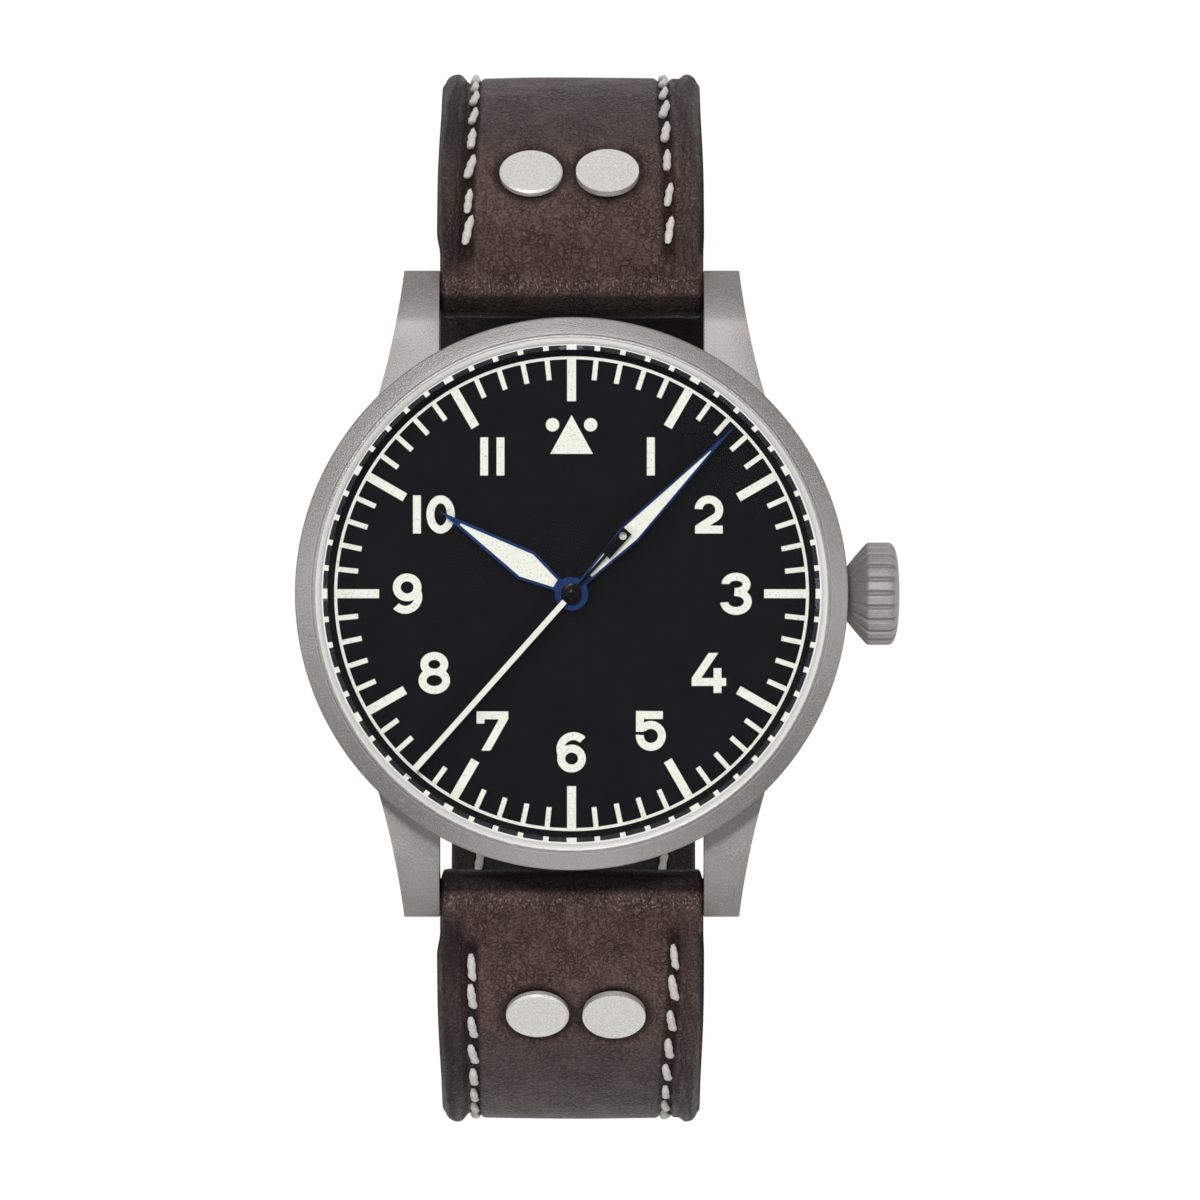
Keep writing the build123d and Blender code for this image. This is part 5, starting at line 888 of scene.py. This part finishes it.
def makeLeatherHalf(side):
    rows, total = strapRows(side)
    rings = []
    marks = {"cut": [], "pressedAndShaded": [], "ridge": [], "strip": []}
    pinY, pinZ = pinPlace()

    def keep(along, half, depthShare, lift, thickness, frameAt, shares=(0.0, 0.0), glintAndWear=0.0):
        columns = strapColumns(side, along, half)
        heights, pressedAndShaded, strip = zip(*(strapHeight(side, x, along, half, depthShare) for x in columns))
        ring, edge = ringFromFace(columns, [height + lift for height in heights], thickness, frameAt, *shares)
        spare = [0.0] * (len(ring) - len(columns))
        rings.append(ring)
        marks["cut"] += edge
        marks["pressedAndShaded"] += [*pressedAndShaded, *spare]
        marks["strip"] += [*strip, *spare]
        marks["ridge"] += [glintAndWear] * len(ring)

    for along in rows:
        frameAt = strapPoint(side, along)
        rollWall = strap["roll"] - strap["bore"]
        thickness = rollWall + (strap["leather"] - rollWall) * ease(along, 0.0, strap["wallGrows"])
        lift = 0.0
        if side > 0 and frameAt[3] < -0.999:
            if frameAt[0] < pinY:
                continue
            near = 1 - ease(frameAt[0] - pinY, 0.0, strap["pinEase"])
            lift = near * (strap["pinLoop"] - sheet / 2)
            thickness += near * (strap["pinLoop"] - strap["pinBore"] - strap["leather"])
        shares = [hump(along, strap[part], strap["spreadEnd"]) for part in ("faceSpread", "edgeSpread")]
        half, shown = halfWidthAt(side, along, total - along), 1.0 if along > 0 else 0.0
        # The band on the ridge next to the case gets painted glints
        keep(along, half, shown, lift, thickness, frameAt, shares, hump(along, *relief["ridgePlace"]))
    if side > 0:
        # Round the buckle's pin and back against the lining
        for step in range(1, strap["pinRows"] + 1):
            turn = -pi / 2 - step * radians(strap["pinTurn"]) / strap["pinRows"]
            ny, nz = cos(turn), sin(turn)
            frameAt = (pinY + strap["pinLoop"] * ny, pinZ + strap["pinLoop"] * nz, ny, nz)
            keep(total, strap["halfWidth"], max(0.0, 1 - step / 8), 0.0, strap["pinLoop"] - strap["pinBore"], frameAt)
    return ringMesh(sides[side] + "_strap_leather", rings, attributes=marks)


def makeLiningHalf(side):
    rows, total = strapRows(side)
    start = bendLengths(side)[0] + strap["radii"][side][0] * radians(strap["liningStart"])
    groove, *grooveWidth = relief["liningGroove"]
    drop, rimWidth = relief["liningRim"]
    rings, cut, pressedAndShaded = [], [], []
    pinY = pinPlace()[0]
    for along in rows:
        y, z, ny, nz = strapPoint(side, along)
        if along < start or (side > 0 and nz < -0.999 and y < pinY + strap["liningEnd"]):
            continue
        half = halfWidthAt(side, along, total - along) - relief["liningFit"]
        inner = (y - ny * sheet, z - nz * sheet, -ny, -nz)
        columns = strapColumns(side, along, half)
        heights, press = [], []
        for x in columns:
            seam = seamPlace(side, 1 if x > 0 else -1, along)
            channel = 1 - ease(abs(x - seam), *grooveWidth)
            rim = (1 - ease(half - abs(x), 0.0, rimWidth)) ** 2
            heights.append(-groove * channel - drop * rim)
            # The lining is darker along the seam's groove
            press.append(channel * 0.7)
        ring, edge = ringFromFace(columns, heights, strap["lining"] - strap["slack"], inner)
        rings.append(ring)
        cut += edge
        pressedAndShaded += press + [0.0] * (len(ring) - len(columns))
    return ringMesh(sides[side] + "_strap_lining", rings, attributes={"cut": cut, "pressedAndShaded": pressedAndShaded})


tail = {"first": 9.0, "spacing": 6.5, "count": 6, "radius": 0.9, "below": 1.0, "above": 4.0}
tongueSlot = {"halfWidth": 1.3, "before": 2.6, "after": 1.45, "reach": 3.0}


def makeStraps():
    # The tongue's slot goes through the upper leather, the tail's holes through the lower leather and lining
    pinY, pinZ = pinPlace()
    x, before, after = tongueSlot["halfWidth"], pinY - tongueSlot["before"], pinY + tongueSlot["after"]
    box = [(-x, before), (x, before), (x, after), (-x, after)]
    slot = ([box], pinZ - tongueSlot["reach"], pinZ + tongueSlot["reach"])
    endY, endZ = strapPoint(-1, sum(bendLengths(-1)))[:2]
    middles = [endY - tail["first"] - i * tail["spacing"] for i in range(tail["count"])]
    rounds = [circle(0.0, middle, tail["radius"], 20) for middle in middles]
    holes = (rounds, endZ - tail["below"], endZ + tail["above"])
    for side, half in sides.items():
        leather = cutWith(makeLeatherHalf(side), *(slot if side > 0 else holes))
        lining = makeLiningHalf(side) if side > 0 else cutWith(makeLiningHalf(side), *holes)
        addPiece(half + "_strap_leather", leather, brownLeather, half + "_strap")
        addPiece(half + "_strap_lining", lining, liningLeather, half + "_lining")
    print("strap halves made")


# Stitches: a tree sets one twisted stitch at each pitch of the seams

stitch = {
    "pitch": {1: 3.5, -1: 3.33}, "length": 2.3, "width": 0.6, "liningLength": 2.0, "lean": 0.2, "seed": 11,
    "rows": 15, "across": 16, "twist": 16.0, "strand": 0.11, "flat": 0.9, "lift": 0.2, "vary": (0.9, 1.07),
    "leans": ((-0.3, -0.06, 0.2), (0.3, 0.06, 1.0)),
}


def makeStitchShape():
    # A twisted thread of length 1 whose rounded ends dive into the leather
    rings = []
    for i in range(stitch["rows"]):
        t = i / (stitch["rows"] - 1)
        swell = 0.5 * (0.45 + 0.55 * ease(t, 0.0, 0.16)) * (1 - 0.5 * ease(t, 0.86, 1.0))
        drop = -0.5 * (2 * t - 1) ** 6
        ring = []
        for k in range(stitch["across"]):
            turn = tau * k / stitch["across"]
            radius = swell * (1 + stitch["strand"] * cos(2 * turn + stitch["twist"] * t))
            slant = 0.07 * cos(turn) * ease(t, 0.5, 1.0)
            point = (t - 0.5 + slant, radius * cos(turn), radius * sin(turn) * stitch["flat"] + drop)
            ring.append([v * metre for v in point])
        rings.append(ring)
    shape = addObject("stitch_shape", ringMesh("stitch_shape", rings))
    shape.hide_render = True
    return shape


def makeStitchTree(shape):
    tree = bpy.data.node_groups.new("seamStitches", "GeometryNodeTree")
    tree.interface.new_socket("Seam", in_out="INPUT", socket_type="NodeSocketGeometry")
    wanted = (
        ("Pitch", "Float", stitch["pitch"][1] * mm), ("Length", "Float", stitch["length"] * mm),
        ("Width", "Float", stitch["width"] * mm), ("Lean", "Float", stitch["lean"]), ("Seed", "Int", stitch["seed"]),
    )
    for label, kind, value in wanted:
        tree.interface.new_socket(label, in_out="INPUT", socket_type="NodeSocket" + kind).default_value = value
    tree.interface.new_socket("Stitches", in_out="OUTPUT", socket_type="NodeSocketGeometry")
    ask = addNode(tree, "NodeGroupInput").outputs
    line = nodeValue(tree, "GeometryNodeMeshToCurve", {"Mesh": ask["Seam"]})
    dots = addNode(tree, "GeometryNodeCurveToPoints", {"Curve": line, "Length": ask["Pitch"]}, mode="LENGTH").outputs
    align = "FunctionNodeAlignRotationToVector"
    along = nodeValue(tree, align, {"Vector": dots["Tangent"]}, axis="X")
    level = nodeValue(tree, align, {"Rotation": along, "Vector": (1.0, 0.0, 0.0)}, axis="Y", pivot_axis="X")
    (low, high), seed = stitch["leans"], ask["Seed"]
    lean = nodeValue(tree, "FunctionNodeRandomValue", {0: low, 1: high, "Seed": seed}, data_type="FLOAT_VECTOR")
    turn = nodeValue(tree, "FunctionNodeEulerToRotation", {0: vectorCalc(tree, "SCALE", {0: lean, 3: ask["Lean"]})})
    sockets = {"Rotation": level, "Rotate By": turn}
    final = nodeValue(tree, "FunctionNodeRotateRotation", sockets, rotation_space="LOCAL")
    size = nodeValue(tree, "ShaderNodeCombineXYZ", {0: ask["Length"], 1: ask["Width"], 2: ask["Width"]})
    low, high = stitch["vary"]
    vary = nodeValue(tree, "FunctionNodeRandomValue", {2: low, 3: high, "Seed": seed}, 1, data_type="FLOAT")
    scale = vectorCalc(tree, "SCALE", {0: size, 3: vary})
    source = nodeValue(tree, "GeometryNodeObjectInfo", {"Object": shape}, "Geometry")
    sockets = {"Points": dots["Points"], "Instance": source, "Rotation": final, "Scale": scale}
    spread = nodeValue(tree, "GeometryNodeInstanceOnPoints", sockets)
    real = nodeValue(tree, "GeometryNodeRealizeInstances", {0: spread})
    addNode(tree, "NodeGroupOutput", {"Stitches": real})
    return tree


def seamMesh(side, lining):
    # The seams as lines; the first stitch stands on a short line of its own
    stop = sum(bendLengths(side)) - seams["end"][side]
    points, edges = [], []
    for hand in (-1, 1):
        start, firstPitch = seams[(side, hand)][2:]
        start += stitch["length"] / 2
        for begin, end in ((start, start + seams["dot"]), (start + firstPitch, stop)):
            places = steps(begin, end, seams["spacing"])
            edges += [(len(points) + i, len(points) + i + 1) for i in range(len(places) - 1)]
            for along in places:
                x = seamPlace(side, hand, along)
                y, z, ny, nz = strapPoint(side, along)
                lift = -sheet if lining else strapHeight(side, x, along, strap["halfWidth"])[0] + stitch["lift"]
                points.append([v * mm for v in (x, y + ny * lift, z + nz * lift)])
    mesh = bpy.data.meshes.new("seams")
    mesh.from_pydata(points, edges, [])
    return mesh


def makeStitches():
    shape = makeStitchShape()
    tree = makeStitchTree(shape)
    for side, half in sides.items():
        for lining in (False, True):
            label = half + ("_lining_stitches" if lining else "_stitches")
            length = stitch["liningLength"] if lining else stitch["length"]
            mesh = applyModifier(seamMesh(side, lining), "NODES", {"node_group": tree}, {
                "Length": length * mm, "Pitch": stitch["pitch"][side] * mm, "Seed": stitch["seed"] + side + 3 * lining,
            })
            setSmooth(mesh)
            addPiece(label, mesh, thread, half + "_strap", replaces=False)
            print(label, len(mesh.polygons), "faces")
    bpy.data.objects.remove(shape)


# Keepers: bent leather loops round the upper half's run

keeper = {"wall": 1.1, "corner": 1.3, "edge": 0.28, "lip": 0.9, "swell": 0.07, "spacing": 1.2, "waver": 0.02}


def keeperLoop(low, high):
    # (x, z, normal x, normal z) round the corners, with points between them for the leather's slight swell
    middle, half = (low + high) / 2, (high - low) / 2
    corner = keeper["corner"]
    path = []
    for index, (sx, sz) in enumerate(((1, 1), (-1, 1), (-1, -1), (1, -1))):
        for k in range(9):
            turn = pi / 2 * (index + k / 8)
            nx, nz = cos(turn), sin(turn)
            x, z = middle.x + sx * (half.x - corner), middle.z + sz * (half.z - corner)
            path.append((x + corner * nx, z + corner * nz, nx, nz))
    filled = []
    for here, there in zip(path, path[1:] + path[:1]):
        count = max(1, int(hypot(there[0] - here[0], there[1] - here[1]) // keeper["spacing"]))
        filled += [[a + (b - a) * k / count for a, b in zip(here, there)] for k in range(count)]
    return filled


def makeKeeper(node):
    low, high = (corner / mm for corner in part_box(node))
    half, midY = (high.y - low.y) / 2, (high.y + low.y) / 2
    wall, edge, lip, swell = (keeper[label] for label in ("wall", "edge", "lip", "swell"))
    # place across the strap's length, depth and share of cut edge
    outer = [(half, -edge, 1), (half - edge * 0.3, -edge * 0.3, 0.6), (half - edge, 0.0, 0)]
    outer += [(half - lip, -swell, 0), (half * 0.3, 0.0, 0)]
    inner = [(half, -wall + edge, 1), (half - edge, -wall, 0.4)]
    profile = [(-along, depth, share) for along, depth, share in outer] + outer[::-1]
    profile += inner + [(0.0, -wall, 0)] + [(-along, depth, share) for along, depth, share in inner[::-1]]
    rings, cut = [], []
    for px, pz, nx, nz in keeperLoop(low, high):
        ring = []
        for along, depth, share in profile:
            depth += keeper["waver"] * noise.noise(Vector((px * 0.5, pz * 0.5, along)))
            ring.append((px + nx * depth, midY + along, pz + nz * depth))
            # The cut edges and the loop's top side, which faces into the strap's loop, take the dark edge colour
            cut.append(max(share, ease(nz, 0.2, 0.6)))
        rings.append(ring)
    name = node + "_leather"
    addPiece(name, ringMesh(name, rings, closed=True, attributes={"cut": cut}), keeperLeather, node)


# Crown: a turned shape with broad rounded flutes, in measures along and about the stem

crownShape = {
    "start": 21.0, "level": 4.2, "ridges": 22, "phase": radians(8.9), "depth": 0.27, "perRidge": 20,
    "flute": (0.02, 0.42), "endMark": 0.3,
    # along the stem, radius and share of the flutes' depth
    "profile": (
        (2.6, 1.45, 0), (0.0, 1.45, 0), (0.0, 2.08, 0.1), (0.06, 2.16, 0.15), (0.7, 2.95, 0.45), (1.44, 3.78, 0.9),
        (1.56, 3.88, 1), (1.7, 3.91, 1), (3.15, 3.91, 1), (3.34, 3.87, 1), (3.52, 3.74, 1), (3.68, 3.48, 0.95),
        (3.79, 3.12, 0.85), (3.87, 2.72, 0.5), (3.94, 2.2, 0.1), (4.0, 1.4, 0), (4.03, 0.7, 0), (4.05, 0.05, 0),
    ),
}


def makeCrown():
    count = crownShape["ridges"] * crownShape["perRidge"]
    rings, flutes = [], []
    for along, radius, share in crownShape["profile"]:
        ring = []
        for k in range(count):
            turn = tau * k / count
            ridge = 0.5 + 0.5 * cos(crownShape["ridges"] * (turn - crownShape["phase"]))
            flute = share * (1 - ease(ridge, *crownShape["flute"]))
            reach = radius - crownShape["depth"] * flute
            ring.append((crownShape["start"] + along, reach * sin(turn), crownShape["level"] + reach * cos(turn)))
            # The flute mark, weaker off the barrel, sets the painted shade in the flutes
            flutes.append(flute if share == 1 else crownShape["endMark"] * flute)
        rings.append(ring)
    addPiece("crown_finished", ringMesh("crown_finished", rings, attributes={"flute": flutes}), crownSteel, "crown")
    print("crown made")


# Bezel: a turned ring whose top falls away evenly to the rim, as radius and level

bezelShape = {
    "count": 240, "sharp": 32,
    "profile": (
        (18.65, 7.62), (19.1, 7.6), (19.1, 7.4), (20.94, 7.4), (21.0, 7.46), (21.0, 9.34), (20.985, 9.385),
        (20.94, 9.42), (20.86, 9.453), (20.37, 9.655), (19.8, 9.888), (19.76, 9.9), (19.74, 9.89), (19.72, 9.915),
        (19.6, 9.965), (19.5, 9.99), (19.44, 9.98), (19.2, 9.85), (19.04, 9.76), (19.0, 9.7), (19.0, 9.3), (18.65, 9.3),
    ),
}


def makeBezel():
    turns = [tau * k / bezelShape["count"] for k in range(bezelShape["count"])]
    rings = [[(r * cos(turn), r * sin(turn), level) for r, level in bezelShape["profile"]] for turn in turns]
    mesh = ringMesh("bezel_finished", rings, closed=True)
    mesh.set_sharp_from_angle(angle=radians(bezelShape["sharp"]))
    addPiece("bezel_finished", mesh, bezelSteel, "bezel")
    print("bezel made")


# Figures: the dial's markers with a round-bowled three and a closed joint in the two

figures = {
    # x, y and height of a figure
    "three": (12.5, 0.0, 3.19), "two": (12.05 * sin(radians(60)), 12.05 * cos(radians(60)), 2.9),
    # centre height, outer and inner half sizes, start and sweep of each bowl
    "bowls": ((0.225, 0.345, 0.273, 0.157, 0.085, 178, -276), (-0.1885, 0.375, 0.3165, 0.187, 0.1285, 96, -271)),
    "joint": (0.213, -0.048, 0.3), "low": 7.595, "top": 7.66, "drop": 0.002,
}


def makeFigures():
    work = bmesh.new()
    work.from_mesh(frame["nodes"]["dial_markers"].data)
    x, y, height = figures["three"]
    old = [v for v in work.verts if abs(v.co.x / mm - x) < height / 2 and abs(v.co.y / mm - y) < height * 0.6]
    bmesh.ops.delete(work, geom=old, context="VERTS")
    outlines = []
    for middle, wide, tall, inWide, inTall, start, sweep in figures["bowls"]:
        turns = [radians(start + sweep * k / 48) for k in range(49)]
        outer = [(x + height * wide * cos(t), y + height * (middle + tall * sin(t))) for t in turns]
        inner = [(x + height * inWide * cos(t), y + height * (middle + inTall * sin(t))) for t in turns[::-1]]
        outlines.append(outer + inner)
    x, y, height = figures["two"]
    right, up, radius = figures["joint"]
    outlines.append(circle(x + height * right, y + height * up, radius, 24))
    for index, outline in enumerate(outlines):
        # Tops that overlap stand at different levels
        addPrism(work, outline, figures["low"], figures["top"] - figures["drop"] * min(index, 1))
    mesh = meshFrom(work, "dial_markers_finished")
    setSmooth(mesh, False)
    addPiece("dial_markers_finished", mesh, lume, "dial_markers")
    print("figures made")


# Stage: a white floor that keeps a faint shadow, an even world and soft lamps

stage = {
    "floorSize": 14.0, "floorDrop": 0.36, "paper": (0.9, 0.9, 0.9, 1.0), "shadowShare": 0.05, "glow": 1.02,
    "world": 0.3, "worldTint": (1.0, 0.995, 0.99, 1.0), "aim": Vector((0.0, 0.0, -0.005)),
}
lamps = {
    # place, size and power
    "key": ((-0.1, 0.38, 1.0), 0.16, 6.3),
    "north": ((0.0, 0.74, 0.67), 0.36, 0.3),
    "south": ((0.0, -0.74, 0.67), 0.36, 1.75),
    "east": ((0.74, 0.0, 0.67), 0.36, 1.5),
    "west": ((-0.74, 0.0, 0.67), 0.36, 1.35),
}


def makeFloor():
    half, low = stage["floorSize"] / 2, cadBox[0][2] - stage["floorDrop"] * mm
    mesh = bpy.data.meshes.new("floor")
    corners = [(x * half, y * half, low) for x, y in ((-1, -1), (1, -1), (1, 1), (-1, 1))]
    mesh.from_pydata(corners, [], [(0, 1, 2, 3)])
    material, tree, shader = startMaterial("floorPaper", stage["paper"], 0.9)
    path = addNode(tree, "ShaderNodeLightPath").outputs
    mirrored = calc(tree, "MAXIMUM", path["Is Glossy Ray"], path["Is Transmission Ray"])
    seen = calc(tree, "MAXIMUM", path["Is Camera Ray"], mirrored)
    glow = addNode(tree, "ShaderNodeEmission", {"Color": (1.0, 1.0, 1.0, 1.0), "Strength": stage["glow"]})
    share = calc(tree, "MULTIPLY", seen, 1 - stage["shadowShare"])
    blendShaders(tree, share, shader, glow)
    mesh.materials.append(material)
    addObject("floor", mesh)


def makeWorld():
    scene.world = bpy.data.worlds.new("studio")
    scene.world.use_nodes = True
    background = scene.world.node_tree.nodes["Background"]
    background.inputs["Color"].default_value = stage["worldTint"]
    background.inputs["Strength"].default_value = stage["world"]


def makeLamps():
    for name, (place, size, power) in lamps.items():
        data = bpy.data.lights.new(name, "AREA")
        data.shape = "DISK"
        data.size = size
        data.energy = power
        light = addObject(name, data)
        light.location = place
        light.rotation_euler = (stage["aim"] - Vector(place)).to_track_quat("-Z", "Y").to_euler()
    print("stage set")


makeCamera()
makeFloor()
makeWorld()
makeLamps()
finishNodes()
makeStraps()
makeStitches()
for node in ("fixed_keeper", "floating_keeper"):
    makeKeeper(node)
print("keepers made")
makeCrown()
makeBezel()
makeFigures()
for node, bevel in smoothing["bevels"].items():
    smoothNode(node, bevel)
print("smooth copies made")

scene.view_settings.view_transform = "Standard"
